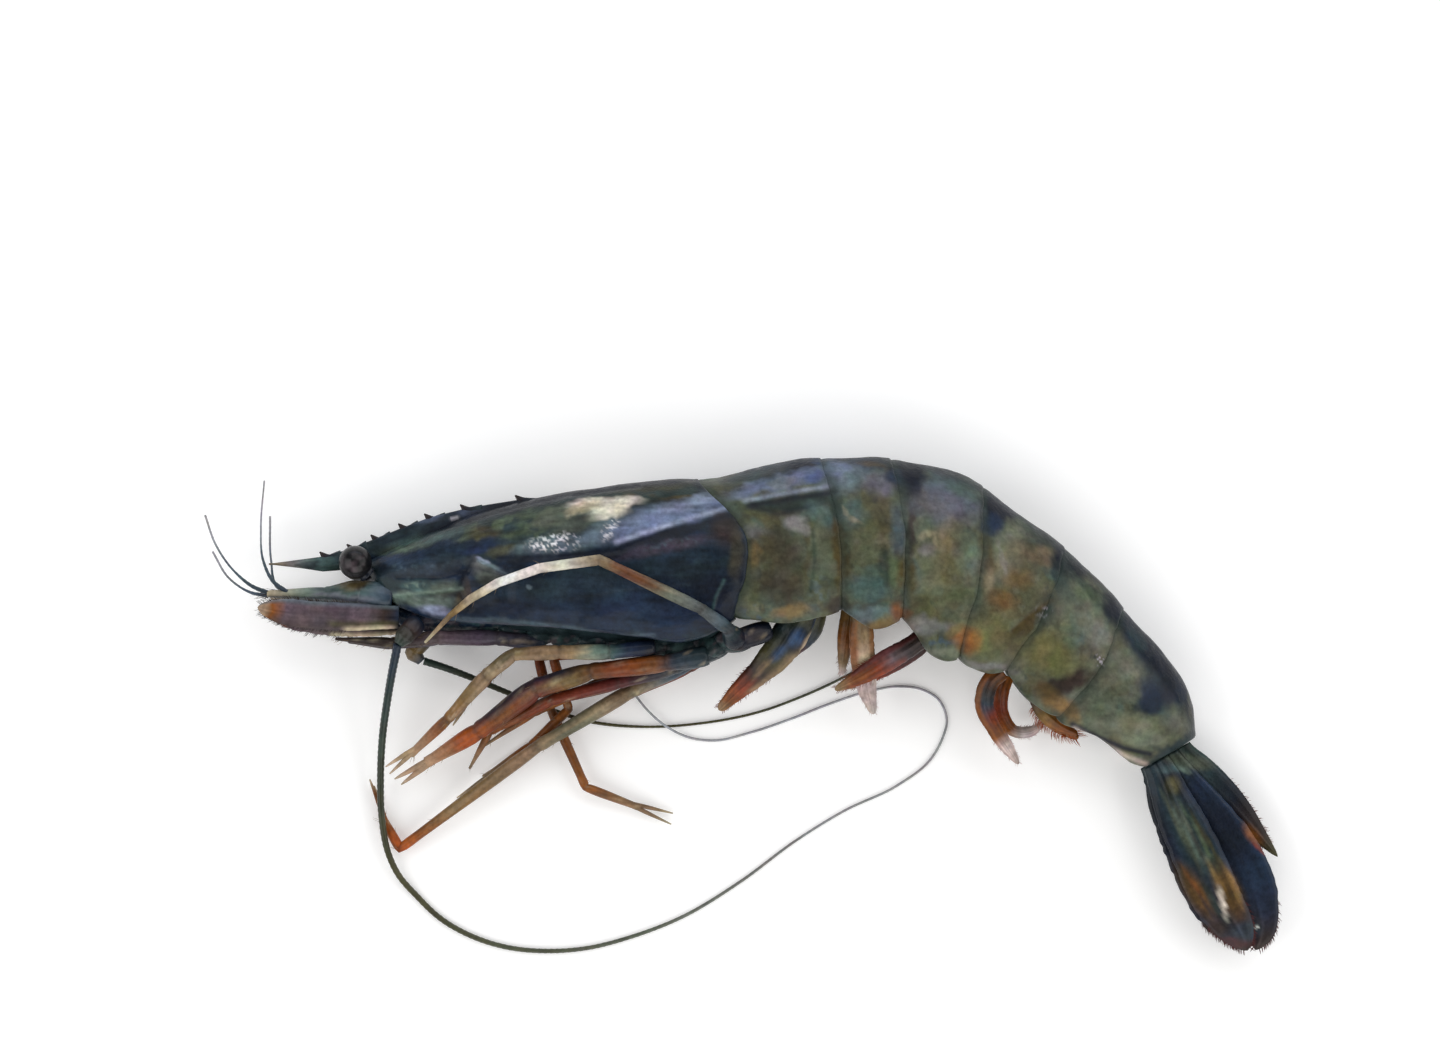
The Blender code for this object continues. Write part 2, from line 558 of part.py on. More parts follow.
def sternum():
    """The underside of the chest between the legs."""
    turns = [math.tau * k / 10 for k in range(10)]
    rings = [
        [(x, y + STERNUM_HALF_DEPTH * math.sin(a), STERNUM_MIDDLE + STERNUM_HALF_WIDTH * math.cos(a))
         for a in turns]
        for x, y in STERNUM
    ]
    return closed_mesh("sternum", rings)


def carapace():
    """The head shell with its beak and teeth, and the chest and the jaws' base under it."""
    shell = plate("carapace", 0.0, PLACES[CARAPACE_END] - GAP, 0.0, CARAPACE_BOW, 20, False, False, False)
    teeth = [tooth(x, i) for i, x in enumerate(TOOTH_PLACES)]
    jaw_base = sweep("jaw_base", JAW_BASE, JAW_BASE_WIDTHS, JAW_BASE_HEIGHTS, 10)
    return fuse("carapace", [shell, rostrum(), sternum(), jaw_base, *teeth])


def eye(name, centre, root):
    """An eye on its short stalk."""
    shape = bmesh.new()
    bmesh.ops.create_icosphere(shape, subdivisions=2, radius=EYE_RADIUS * MM)
    mesh = bpy.data.meshes.new(name)
    shape.to_mesh(mesh)
    shape.free()
    ball = bpy.data.objects.new(name, mesh)
    ball.location = Vector(centre) * MM
    bpy.context.scene.collection.objects.link(ball)
    stalk = sweep(name + "_stalk", [centre, root], [1.5, 1.2], [1.5, 1.2], 8)
    return fuse(name, [ball, stalk])


# Finishes

FINISHES = {
    "head_shell": ((0.035, 0.055, 0.085), 0.25),
    "body_shell": ((0.17, 0.19, 0.13), 0.3),
    "eye": ((0.01, 0.01, 0.012), 0.15),
    "leg": ((0.42, 0.17, 0.06), 0.4),
    "swimmer": ((0.28, 0.09, 0.05), 0.4),
    "tail": ((0.02, 0.03, 0.06), 0.3),
    "feeler": ((0.09, 0.09, 0.06), 0.4),
}


def finish(name):
    """The plain material of one kind of piece."""
    found = bpy.data.materials.get(name)
    if found:
        return found
    colour, roughness = FINISHES[name]
    material = bpy.data.materials.new(name)
    material.use_nodes = True
    shader = material.node_tree.nodes["Principled BSDF"]
    shader.inputs["Base Color"].default_value = (*colour, 1.0)
    shader.inputs["Roughness"].default_value = roughness
    shader.inputs["Metallic"].default_value = 0.0
    return material


def dress(thing, kind):
    """Gives a piece its material and smooth shading."""
    thing.data.materials.clear()
    thing.data.materials.append(finish(kind))
    thing.data.shade_smooth()
    thing.data.set_sharp_from_angle(angle=math.radians(50))
    return thing


def build():
    """Makes every piece, and hangs them on one empty that centres the whole."""
    for old in list(bpy.data.objects):
        bpy.data.objects.remove(old)
    made = [dress(carapace(), "head_shell")]
    start = CARAPACE_END
    bow = CARAPACE_BOW
    for number, (end, end_bow) in enumerate(zip(SEGMENT_ENDS, PLATE_BOWS), 1):
        last = GAP if number < len(SEGMENT_ENDS) else 0.0
        piece = plate(
            f"abdomen_{number}", PLACES[start], PLACES[end] - last, bow, end_bow, 7, True, True, number < 6
        )
        made.append(dress(piece, "body_shell"))
        start, bow = end, end_bow
    made.append(dress(eye("eye_left", (-69.4, 25.7, 14.6), (-67.2, 23.4, 13.8)), "eye"))
    made.append(dress(eye("eye_right", (-69.4, 25.3, 3.3), (-67.4, 22.4, 4.6)), "eye"))
    for name, (joints, radii, fingers) in LEGS.items():
        made.append(dress(limb(name, joints, radii, fingers), "leg"))
    for name, (stem, radii, upper, lower) in ANTENNULES.items():
        made.append(dress(antennule(name, stem, radii, upper, lower), "feeler"))
    left = whip("antenna_left", ANTENNA_LEFT, 0.78, 0.22, 80, ANTENNA_LEFT_STEM, (1.9, 1.9, 1.0))
    right = whip("antenna_right", ANTENNA_RIGHT, 0.7, 0.24, 34, ANTENNA_RIGHT_STEM, (1.7, 1.7, 0.9))
    made += [dress(left, "feeler"), dress(right, "feeler")]
    for table, kind in ((SWIMMERS, "swimmer"), (SCALES, "head_shell"), (TAIL, "tail")):
        for name, (points, widths, heights) in table.items():
            made.append(dress(blade(name, points, widths, heights, footed=table is TAIL), kind))
    holder = bpy.data.objects.new("prawn", None)
    bpy.context.scene.collection.objects.link(holder)
    holder.location = CENTRING * MM
    for thing in made:
        thing.parent = holder


build()
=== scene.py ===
"""Looks of a raw tiger prawn: wet mottled shell, jointed legs, feelers, swimming limbs and tail fan.

Sizes are in millimetres in the solids' own plan: +X towards the tail, +Y towards the back, +Z up, with the
left flank up. The places of colours are pixels of the photograph, which looks straight down on the prawn.
"""

import logging
import math
from dataclasses import dataclass
from enum import Enum
from itertools import product
from typing import Callable, Optional

import bpy
import numpy as np
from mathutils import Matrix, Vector


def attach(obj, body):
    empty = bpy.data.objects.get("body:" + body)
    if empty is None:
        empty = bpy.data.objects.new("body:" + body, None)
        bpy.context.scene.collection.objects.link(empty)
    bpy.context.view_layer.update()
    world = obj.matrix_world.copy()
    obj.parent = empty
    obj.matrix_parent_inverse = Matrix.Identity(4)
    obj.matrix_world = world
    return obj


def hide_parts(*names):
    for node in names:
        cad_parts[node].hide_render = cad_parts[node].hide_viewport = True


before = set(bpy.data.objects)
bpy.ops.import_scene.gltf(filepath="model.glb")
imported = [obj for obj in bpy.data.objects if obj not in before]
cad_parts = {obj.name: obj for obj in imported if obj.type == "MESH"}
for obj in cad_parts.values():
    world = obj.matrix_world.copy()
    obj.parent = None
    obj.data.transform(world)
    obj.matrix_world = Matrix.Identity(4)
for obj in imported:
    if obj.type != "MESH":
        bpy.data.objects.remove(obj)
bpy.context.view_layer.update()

LOG = logging.getLogger("prawn")
Array = np.ndarray

MM = 0.001
# Where the plan's origin lies in the finished frame, and the photograph's scale and middle
CENTRING = np.array((-0.27, 0.23, 0.0))
PIXEL = 0.18
ORIGIN_ACROSS = 741.5
ORIGIN_DOWN = 705.0
TINT = "tint"
# How much brighter the studio makes a surface than its own colour
LIGHT_LEVEL = 1.3

# The curve between a screen's values and linear light
SCREEN_KNEE = 0.04045
SCREEN_FOOT = 12.92
SCREEN_LIFT = 0.055
SCREEN_POWER = 2.4
# Large numbers that scatter the noise's lattice, and how far apart its patterns are taken
SCATTER = (73856093, 19349663, 83492791)
SEED_SCATTER = 2654435
MIXER = 1274126177
SEED_SHIFT = 17.3
# The smallest length that anything is divided by, and the smallest radius at a closed end
TINY = 1e-9
CLOSED = 0.05

# Shares of a section's depth, and how far a plate's hind edge stands out
WIDEST_AT = 0.45
LOBE_NOTCH = 0.055
LAST_LOBE_FROM = 0.86
BELLY_RECESS = 0.13
SHELL_STEP = 0.45
GAP = 0.3
# A middling section's depth and half width
SECTION_DEPTH = 28.0
SECTION_HALF = 11.0
# How high a plate swells behind its front edge and dips before its hind one, and how far along each reaches
FRONT_SWELL, FRONT_REACH = 0.38, 2.4
HIND_DIP, HIND_REACH = 0.28, 1.8
# The rounded lip behind a plate, as (shift along, drop), and the room that is left for it
LIP = ((-0.3, -0.29), (-0.12, -0.35), (-0.03, -0.43), (0.0, -0.53), (-0.02, -1.5))
LIP_ROOM = 0.6
# Rows at each end of a plate over which its dents fade away
EASED_ROWS = 6.0


# Colours and tones

class Hue(Enum):
    """Colours of the prawn and of the highlights and glints painted on it, as screen values from 0 to 255."""

    INK = (13, 20, 34)
    NAVY = (26, 41, 62)
    MIDNIGHT = (32, 46, 72)
    SLATE = (48, 60, 72)
    STEEL = (72, 88, 100)
    DEEP_GREEN = (40, 56, 50)
    DARK_TEAL = (38, 54, 58)
    TEAL = (68, 94, 94)
    SEA = (86, 108, 104)
    MIST = (106, 124, 134)
    LILAC = (116, 130, 162)
    PALE_LILAC = (166, 176, 202)
    BLUSH_GREY = (126, 126, 124)
    MOSS = (92, 106, 80)
    OLIVE = (88, 84, 54)
    DARK_OLIVE = (72, 68, 40)
    GREY_OLIVE = (90, 97, 80)
    PALE_OLIVE = (114, 117, 98)
    SAGE = (118, 136, 124)
    OCHRE = (114, 94, 54)
    GOLD = (132, 102, 56)
    RUST = (132, 76, 28)
    ORANGE = (172, 80, 24)
    BRICK = (124, 52, 26)
    WINE = (84, 38, 38)
    UMBER = (54, 42, 38)
    MAUVE = (96, 82, 88)
    PLUM = (76, 64, 78)
    TAN = (146, 122, 92)
    PALE_TAN = (176, 150, 118)
    SAND = (196, 180, 150)
    CREAM = (226, 218, 204)
    BONE = (238, 234, 226)
    PINK_FILM = (206, 186, 182)
    BLUE = (38, 64, 98)
    WHITE = (250, 250, 252)
    BLACK = (9, 9, 12)
    PALE_GREY = (176, 176, 182)
    VIOLET_BLUE = (72, 88, 132)
    LAVENDER_GREY = (104, 104, 118)
    OLIVE_YELLOW = (108, 104, 68)
    ORANGE_GOLD = (156, 96, 34)
    SIENNA = (122, 80, 60)
    SHADOW_BLUE = (19, 34, 52)
    BROWN_OLIVE = (78, 66, 36)
    MUD = (64, 58, 44)
    GREY_GREEN = (88, 98, 98)
    DARK_GOLD = (90, 66, 26)

    @property
    def light(self) -> Array:
        """The colour as linear light."""
        value = np.array(self.value) / 255
        curved = ((value + SCREEN_LIFT) / (1 + SCREEN_LIFT)) ** SCREEN_POWER
        return np.where(value <= SCREEN_KNEE, value / SCREEN_FOOT, curved)


def smoothstep(low: float, high: float, value: Array) -> Array:
    """A soft step from 0 to 1.

    Args:
        low: Where the step begins.
        high: Where it ends.
        value: What is stepped.

    Returns:
        Shares from 0 to 1.
    """
    share = np.clip((value - low) / (high - low), 0, 1)
    return share * share * (3 - 2 * share)


def noise(points: Array, size: float, seed: int) -> Array:
    """Smooth lattice noise.

    Args:
        points: Places in millimetres.
        size: Distance between lattice points in millimetres.
        seed: Which pattern.

    Returns:
        Values from -1 to 1, one a point.
    """
    cells = points / size + seed * SEED_SHIFT
    low = np.floor(cells).astype(np.int64)
    share = cells - low
    share = share * share * (3 - 2 * share)
    total = np.zeros(len(points))
    for corner in product((0, 1), repeat=3):
        spot = (low + np.array(corner)) * SCATTER
        key = spot[:, 0] ^ spot[:, 1] ^ spot[:, 2] ^ (seed * SEED_SCATTER)
        key = ((key ^ (key >> 13)) * MIXER) & 0xFFFFFFFF
        weight = np.prod(np.where(np.array(corner) == 1, share, 1 - share), axis=1)
        total += weight * (((key >> 8) & 0xFFFF) / 32767.5 - 1)
    return total


def plan(across: float, down: float) -> Array:
    """The place in the plan, in millimetres, of a pixel of the photograph."""
    return np.array(((across - ORIGIN_ACROSS) * PIXEL, (ORIGIN_DOWN - down) * PIXEL))


def line_distance(points: Array, line: Array) -> Array:
    """How far points lie from a chain of straight lines in the plan.

    Args:
        points: Places, of which the first two numbers count.
        line: The chain's corners.

    Returns:
        Distances in millimetres.
    """
    nearest = np.full(len(points), 1e9)
    for a, b in zip(line, line[1:]):
        along = b - a
        share = np.clip(((points[:, :2] - a) @ along) / (along @ along), 0, 1)
        gap = points[:, :2] - a - share[:, None] * along
        nearest = np.minimum(nearest, np.hypot(gap[:, 0], gap[:, 1]))
    return nearest


def bulge(shares: Array) -> Array:
    """A column that is 0 at both ends of a stretch and 1 in its middle."""
    return (4 * shares * (1 - shares))[:, None]


def each(kind: type, *rows: tuple) -> tuple:
    """One thing of a kind for each row of a table."""
    return tuple(kind(*row) for row in rows)


@dataclass(frozen=True)
class Patch:
    """A soft spot or streak of colour: its middle and half sizes in pixels, and its turn in degrees."""

    across: float
    down: float
    long: float
    wide: float
    turn: float
    hue: Hue
    strength: float = 0.8
    soft: float = 0.45
    speckle: float = 0.0

    def cover(self, spot: Array, points: Array) -> Array:
        """How much of the patch's colour each point takes.

        Args:
            spot: Places in the plan, with their edges made to wander.
            points: The true places.

        Returns:
            Shares from 0 to 1.
        """
        gap = spot - plan(self.across, self.down)
        turn = math.radians(self.turn)
        along = gap[:, 0] * math.cos(turn) + gap[:, 1] * math.sin(turn)
        aside = gap[:, 1] * math.cos(turn) - gap[:, 0] * math.sin(turn)
        reach = np.hypot(along / self.long, aside / self.wide) / PIXEL
        cover = 1 - smoothstep(1 - self.soft, 1 + self.soft, reach)
        if self.speckle:
            cover = cover * smoothstep(0.05, 0.4, noise(points, self.speckle, 71))
        return cover * self.strength


@dataclass(frozen=True)
class Mottle:
    """Blotches of a colour all over a piece: their size in millimetres, and the share that they cover."""

    hue: Hue
    size: float
    amount: float
    strength: float
    seed: int
    stretch: float = 1.0

    def cover(self, points: Array) -> Array:
        """How much of the blotches' colour each point takes.

        Args:
            points: Places in millimetres.

        Returns:
            Shares from 0 to 1.
        """
        drawn = points * (1 / self.stretch, 1, 1)
        value = noise(drawn, self.size, self.seed) + 0.45 * noise(drawn, self.size * 0.4, self.seed + 1)
        edge = 0.55 - self.amount
        return smoothstep(edge - 0.12, edge + 0.22, value) * self.strength


@dataclass(frozen=True)
class Crease:
    """A groove, or with a negative depth a ridge, along a line of the photograph's pixels."""

    line: tuple
    width: float
    depth: float
    hue: Optional[Hue] = None
    strength: float = 0.6

    def reach(self, points: Array) -> Array:
        """How near each point is to the middle of the groove: 1 on it, 0 far off."""
        line = np.array([plan(*corner) for corner in self.line])
        return np.exp(-((line_distance(points, line) / self.width) ** 2))


@dataclass(frozen=True)
class Paint:
    """How a piece is coloured: patches over a base, with wandering edges and an uneven tone."""

    patches: tuple = ()
    creases: tuple = ()
    mottles: tuple = ()
    uneven: float = 0.16
    drift: float = 0.7
    streaks: float = 0.0
    tinge: float = 0.07

    def colour(self, points: Array, base: Array) -> Array:
        """Colours the points of a piece.

        Args:
            points: Places in millimetres.
            base: The colours to start from, as linear light.

        Returns:
            One colour a point.
        """
        broad = np.stack([noise(points, 3.2, seed) for seed in (11, 23)], -1)
        fine = np.stack([noise(points, 1.0, seed) for seed in (31, 41)], -1)
        spot = points[:, :2] + (broad + 0.5 * fine) * self.drift
        tint = base.copy()
        for mottle in self.mottles:
            tint += (mottle.hue.light - tint) * mottle.cover(points)[:, None]
        for patch in self.patches:
            tint += (patch.hue.light - tint) * patch.cover(spot, points)[:, None]
        for crease in self.creases:
            if crease.hue:
                share = crease.reach(points) * crease.strength
                tint += (crease.hue.light - tint) * share[:, None]
        clouds = noise(points, 3.4, 51) + 0.8 * noise(points, 1.5, 61) + 0.3 * noise(points, 0.7, 65)
        tone = 1 + self.uneven * clouds
        if self.streaks:
            drawn = points * (0.16, 1, 1)
            tone += self.streaks * (noise(drawn, 0.8, 101) + 0.8 * noise(drawn, 0.4, 111))
        tinge = [noise(points, 2.6, seed) + 0.5 * noise(points, 1.1, seed) for seed in (141, 151, 161)]
        return np.clip(tint * tone[:, None] * (1 + self.tinge * np.stack(tinge, -1)), 0, 1)


def along_stops(shares: Array, stops: tuple) -> Array:
    """Colours along a piece.

    Args:
        shares: How far along each point is, from 0 to 1.
        stops: Pairs of a share and a hue.

    Returns:
        One colour a point, as linear light.
    """
    places = [share for share, _ in stops]
    lights = np.array([hue.light for _, hue in stops])
    return np.stack([np.interp(shares, places, lights[:, k]) for k in range(3)], -1)


# Finishes

# Size of the blotches in millimetres, the spread of roughness either way, and the shine of every wet surface
BLOTCH = 0.9
SMOOTHER, ROUGHER = 0.08, 0.1
SPECULAR = 0.12
COAT_ROUGHNESS = 0.16


@dataclass(frozen=True)
class Finish:
    """A wet, shiny surface whose colour comes from its points, with fine pits and an uneven shine."""

    name: str
    slot: str
    roughness: float
    coat: float
    pit: float
    relief: float
    vary: float = 0.16

    def material(self) -> bpy.types.Material:
        """Makes the material once, and hands it out after that."""
        found = bpy.data.materials.get(self.name)
        if found:
            return found
        material = bpy.data.materials.new(self.name)
        material.use_nodes = True
        tree = material.node_tree
        shader = tree.nodes["Principled BSDF"]
        where = tree.nodes.new("ShaderNodeTexCoord")
        tint = tree.nodes.new("ShaderNodeVertexColor")
        tint.layer_name = TINT
        mottle = self._noise(tree, where, BLOTCH)
        pits = self._noise(tree, where, self.pit)
        tone = self._range(tree, mottle, 1 - self.vary, 1 + self.vary)
        rough = self._range(tree, mottle, self.roughness - SMOOTHER, self.roughness + ROUGHER)
        shade = tree.nodes.new("ShaderNodeVectorMath")
        shade.operation = "SCALE"
        bump = tree.nodes.new("ShaderNodeBump")
        for source, target in (
            (tint.outputs["Color"], shade.inputs[0]),
            (tone.outputs["Result"], shade.inputs["Scale"]),
            (shade.outputs["Vector"], shader.inputs["Base Color"]),
            (rough.outputs["Result"], shader.inputs["Roughness"]),
            (pits.outputs["Fac"], bump.inputs["Height"]),
            (bump.outputs["Normal"], shader.inputs["Normal"]),
        ):
            tree.links.new(source, target)
        for node, name, value in (
            (bump, "Strength", 1.0), (bump, "Distance", self.relief * MM), (shader, "Coat Weight", self.coat),
            (shader, "Specular IOR Level", SPECULAR), (shader, "Coat Roughness", COAT_ROUGHNESS),
        ):
            node.inputs[name].default_value = value
        return material

    @staticmethod
    def _noise(tree: bpy.types.NodeTree, where: bpy.types.Node, size: float) -> bpy.types.Node:
        """A noise texture whose features are about `size` millimetres.

        Args:
            tree: The material's nodes.
            where: What gives the places.
            size: The features' size.

        Returns:
            The texture's node.
        """
        node = tree.nodes.new("ShaderNodeTexNoise")
        node.inputs["Scale"].default_value = 1 / (size * MM)
        node.inputs["Detail"].default_value = 3.0
        tree.links.new(where.outputs["Object"], node.inputs["Vector"])
        return node

    @staticmethod
    def _range(tree: bpy.types.NodeTree, source: bpy.types.Node, low: float, high: float) -> bpy.types.Node:
        """Stretches a noise's middle values between two numbers.

        Args:
            tree: The material's nodes.
            source: The noise.
            low: What a low value becomes.
            high: What a high value becomes.

        Returns:
            The stretching node.
        """
        node = tree.nodes.new("ShaderNodeMapRange")
        for name, value in (("From Min", 0.3), ("From Max", 0.7), ("To Min", low), ("To Max", high)):
            node.inputs[name].default_value = value
        tree.links.new(source.outputs["Fac"], node.inputs["Value"])
        return node


HEAD_FINISH = Finish("head_shell_wet", "head_shell", 0.42, 0.16, 0.5, 0.12, 0.22)
BODY_FINISH = Finish("body_shell_wet", "body_shell", 0.45, 0.14, 0.7, 0.13, 0.2)
EYE_FINISH = Finish("eye_wet", "eye", 0.36, 0.35, 0.25, 0.04)
LEG_FINISH = Finish("leg_wet", "leg", 0.48, 0.25, 0.4, 0.12, 0.24)
SWIMMER_FINISH = Finish("swimmer_wet", "swimmer", 0.48, 0.25, 0.35, 0.1, 0.24)
TAIL_FINISH = Finish("tail_wet", "tail", 0.42, 0.22, 0.45, 0.1, 0.24)
FEELER_FINISH = Finish("feeler_wet", "feeler", 0.45, 0.4, 0.3, 0.03)


# Meshes

# A hair's rows: how far along, and the share of its radius there
HAIR_SHARES = np.array((0.0, 0.35, 0.7, 1.0))
HAIR_TAPER = np.array((1.0, 0.85, 0.6, 0.15))
HAIR_SIDES = 3


class Skin:
    """Gathers rings of points with their colours, and turns them into one piece."""

    def __init__(self) -> None:
        """Starts with nothing."""
        self.points: list = []
        self.faces: list = []
        self.tints: list = []
        self.count = 0

    def add(self, rings: Array, tints: Array) -> None:
        """Adds one closed tube of rings.

        Args:
            rings: Rows of points, in millimetres.
            tints: One colour a point, in the same rows.
        """
        rows, columns = rings.shape[:2]
        ends = np.stack([rings[0].mean(0), rings[-1].mean(0)])
        points = np.concatenate([rings.reshape(-1, 3), ends])
        colours = np.concatenate([tints.reshape(-1, 3), tints[0].mean(0)[None], tints[-1].mean(0)[None]])
        index = np.arange(rows * columns).reshape(rows, columns)
        right = np.roll(index, -1, 1)
        hubs = [np.full(columns, rows * columns + k) for k in (0, 1)]
        faces = np.concatenate([
            np.stack([index[:-1], right[:-1], right[1:]], -1).reshape(-1, 3),
            np.stack([index[:-1], right[1:], index[1:]], -1).reshape(-1, 3),
            np.stack([right[0], index[0], hubs[0]], -1),
            np.stack([index[-1], right[-1], hubs[1]], -1),
        ])
        a, b, c = (points[faces[:, k]] - points[0] for k in range(3))
        if np.einsum("ij,ij->", a, np.cross(b, c)) < 0:
            faces = faces[:, ::-1]
        self.points.append(points)
        self.tints.append(colours)
        self.faces.append(faces + self.count)
        self.count += len(points)

    def hair(self, root: Array, tip: Array, sag: Array, radius: float, hue: Hue) -> None:
        """Adds one bent hair.

        Args:
            root: Where it grows.
            tip: Where it ends.
            sag: How far its middle is pushed aside.
            radius: Its radius at the root, in millimetres.
            hue: Its colour.
        """
        path = root + (tip - root) * HAIR_SHARES[:, None] + sag * bulge(HAIR_SHARES)
        rings = tube(path, radius * HAIR_TAPER, radius * HAIR_TAPER, HAIR_SIDES)
        self.add(rings, np.broadcast_to(hue.light, rings.shape))

    def piece(self, name: str, finish: Finish, *nodes: str) -> bpy.types.Object:
        """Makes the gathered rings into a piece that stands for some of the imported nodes.

        Args:
            name: The piece's name.
            finish: What it is made of.
            nodes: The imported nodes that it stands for.

        Returns:
            The finished object.
        """
        points = np.concatenate(self.points)
        tints = np.concatenate(self.tints)
        points[:, 2] = np.maximum(points[:, 2], 0.0)
        mesh = bpy.data.meshes.new(name)
        mesh.from_pydata(((points + CENTRING) * MM).tolist(), [], np.concatenate(self.faces).tolist())
        attribute = mesh.attributes.new(TINT, "FLOAT_COLOR", "POINT")
        tints = np.c_[tints / LIGHT_LEVEL, np.ones(len(tints))]
        attribute.data.foreach_set("color", tints.astype(np.float32).ravel())
        mesh.materials.append(finish.material())
        mesh.shade_smooth()
        thing = bpy.data.objects.new(name, mesh)
        bpy.context.scene.collection.objects.link(thing)
        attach(thing, "root")
        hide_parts(*nodes)
        LOG.info("%s: %d faces", name, len(mesh.polygons))
        return thing


class SmoothTable:
    """A smooth curve through the rows of a table."""

    def __init__(self, places: Array, values: Array) -> None:
        """Keeps the rows and works out the slopes at them."""
        self.places = np.array(places, float)
        self.values = np.array(values, float)
        self.slopes = np.gradient(self.values, self.places, axis=0)

    @classmethod
    def through(cls, points: Array, values: Optional[Array] = None) -> "SmoothTable":
        """A curve whose rows lie as far apart as points do.

        Args:
            points: Places in millimetres.
            values: The rows, or None for the points themselves.

        Returns:
            The curve.
        """
        points = np.array(points, float)
        steps = np.linalg.norm(np.diff(points, axis=0), axis=1)
        return cls(np.r_[0, np.cumsum(steps)], points if values is None else values)

    def at(self, where: Array) -> Array:
        """The row at each place.

        Args:
            where: Places along the curve.

        Returns:
            One row a place.
        """
        k = np.clip(np.searchsorted(self.places, where) - 1, 0, len(self.places) - 2)
        span = (self.places[k + 1] - self.places[k])[..., None]
        t = (where - self.places[k])[..., None] / span
        return (
            self.values[k] * (2 * t**3 - 3 * t**2 + 1)
            + self.values[k + 1] * (3 * t**2 - 2 * t**3)
            + self.slopes[k] * span * (t**3 - 2 * t**2 + t)
            + self.slopes[k + 1] * span * (t**3 - t**2)
        )

    def evenly(self, count: int) -> Array:
        """Rows a steady distance apart."""
        return self.at(np.linspace(0, self.places[-1], count))


def tube(path: Array, widths: Array, heights: Array, sides: int) -> Array:
    """Rings round a path.

    Args:
        path: Points along the middle.
        widths: Half widths in the plan.
        heights: Half heights.
        sides: Points in a ring.

    Returns:
        Rows of points. A ring starts on the side that lies to the right of the way ahead, seen from above.
    """
    steps = np.diff(path, axis=0)
    steps /= np.linalg.norm(steps, axis=1)[:, None]
    ahead = np.concatenate([steps[:1], steps[:-1] + steps[1:], steps[-1:]])
    ahead /= np.linalg.norm(ahead, axis=1)[:, None]
    side = np.cross(ahead, (0.0, 0.0, 1.0))
    side /= np.maximum(np.linalg.norm(side, axis=1), TINY)[:, None]
    above = np.cross(side, ahead)
    turn = math.tau * np.arange(sides) / sides
    return (
        path[:, None]
        + side[:, None] * (np.array(widths)[:, None] * np.cos(turn))[..., None]
        + above[:, None] * (np.array(heights)[:, None] * np.sin(turn))[..., None]
    )


def grid_normals(grid: Array) -> Array:
    """Outward directions at the points of a closed ring surface.

    Args:
        grid: Rows of points.

    Returns:
        One direction a point.
    """
    along = np.gradient(grid, axis=0)
    around = np.roll(grid, -1, 1) - np.roll(grid, 1, 1)
    normals = np.cross(along, around)
    normals /= np.maximum(np.linalg.norm(normals, axis=-1), TINY)[..., None]
    outward = np.einsum("ijk,ijk->", normals, grid - grid.mean(1, keepdims=True))
    return normals if outward > 0 else -normals


# The body

# Back (x, y), belly (x, y), half width and height of the middle, at each cross-section
BODY = np.array((
    (-67.2, 26.1, -61.8, 17.8, 5.0, 9.0),
    (-61.8, 28.6, -57.0, 16.0, 6.8, 9.6),
    (-56.8, 30.8, -51.6, 15.3, 8.2, 10.2),
    (-50.5, 33.5, -45.3, 14.9, 9.4, 10.7),
    (-40.4, 36.4, -37.2, 14.6, 10.6, 11.2),
    (-30.9, 38.3, -28.7, 14.0, 11.3, 11.5),
    (-21.7, 39.6, -19.7, 13.1, 11.8, 11.7),
    (-13.8, 40.3, -10.2, 12.1, 11.8, 11.6),
    (-7.5, 40.7, -0.6, 14.4, 11.3, 11.1),
    (6.0, 43.4, 7.8, 14.9, 11.0, 10.7),
    (14.5, 44.4, 18.3, 15.7, 11.1, 10.8),
    (21.3, 44.6, 23.5, 13.9, 11.1, 10.8),
    (27.3, 44.2, 29.1, 14.2, 11.0, 10.7),
    (34.8, 43.0, 33.5, 9.7, 10.8, 10.5),
    (43.8, 39.1, 38.9, 7.0, 10.4, 10.1),
    (51.9, 33.1, 43.7, 5.9, 9.9, 9.6),
    (58.6, 28.0, 47.1, 5.0, 9.4, 9.1),
    (64.6, 22.4, 52.0, 0.7, 8.8, 8.5),
    (69.2, 17.0, 57.4, -3.1, 8.2, 7.9),
    (76.2, 9.5, 65.2, -6.5, 7.6, 7.3),
    (80.7, 1.8, 69.3, -9.3, 6.8, 6.5),
    (82.0, -5.9, 72.2, -11.5, 6.0, 5.8),
))
CARAPACE_END = 8
SEGMENT_ENDS = (10, 12, 14, 16, 18, 21)
CARAPACE_BOW = 5.6
PLATE_BOWS = (1.6, 1.5, 1.6, 1.4, 1.2, 0.0)
BODY_CURVE = SmoothTable.through((BODY[:, 0:2] + BODY[:, 2:4]) / 2, BODY)


def body_points(place: Array, up: Array, out: Array, swell: Array) -> Array:
    """Points of the body.

    Args:
        place: How far along the body, in millimetres.
        up: 0 at the belly edge and 1 at the back.
        out: The share of the half width, above or below the middle.
        swell: How far outside the mean surface.

    Returns:
        Places in millimetres.
    """
    row = BODY_CURVE.at(place)
    back, belly = row[..., 0:2], row[..., 2:4]
    depth = np.linalg.norm(back - belly, axis=-1)
    up = WIDEST_AT + (up - WIDEST_AT) * (1 + swell / (depth / 2))
    flat = belly + (back - belly) * up[..., None]
    height = np.maximum(row[..., 5] + out * (row[..., 4] + swell), 0.0)
    return np.concatenate([flat, height[..., None]], -1)


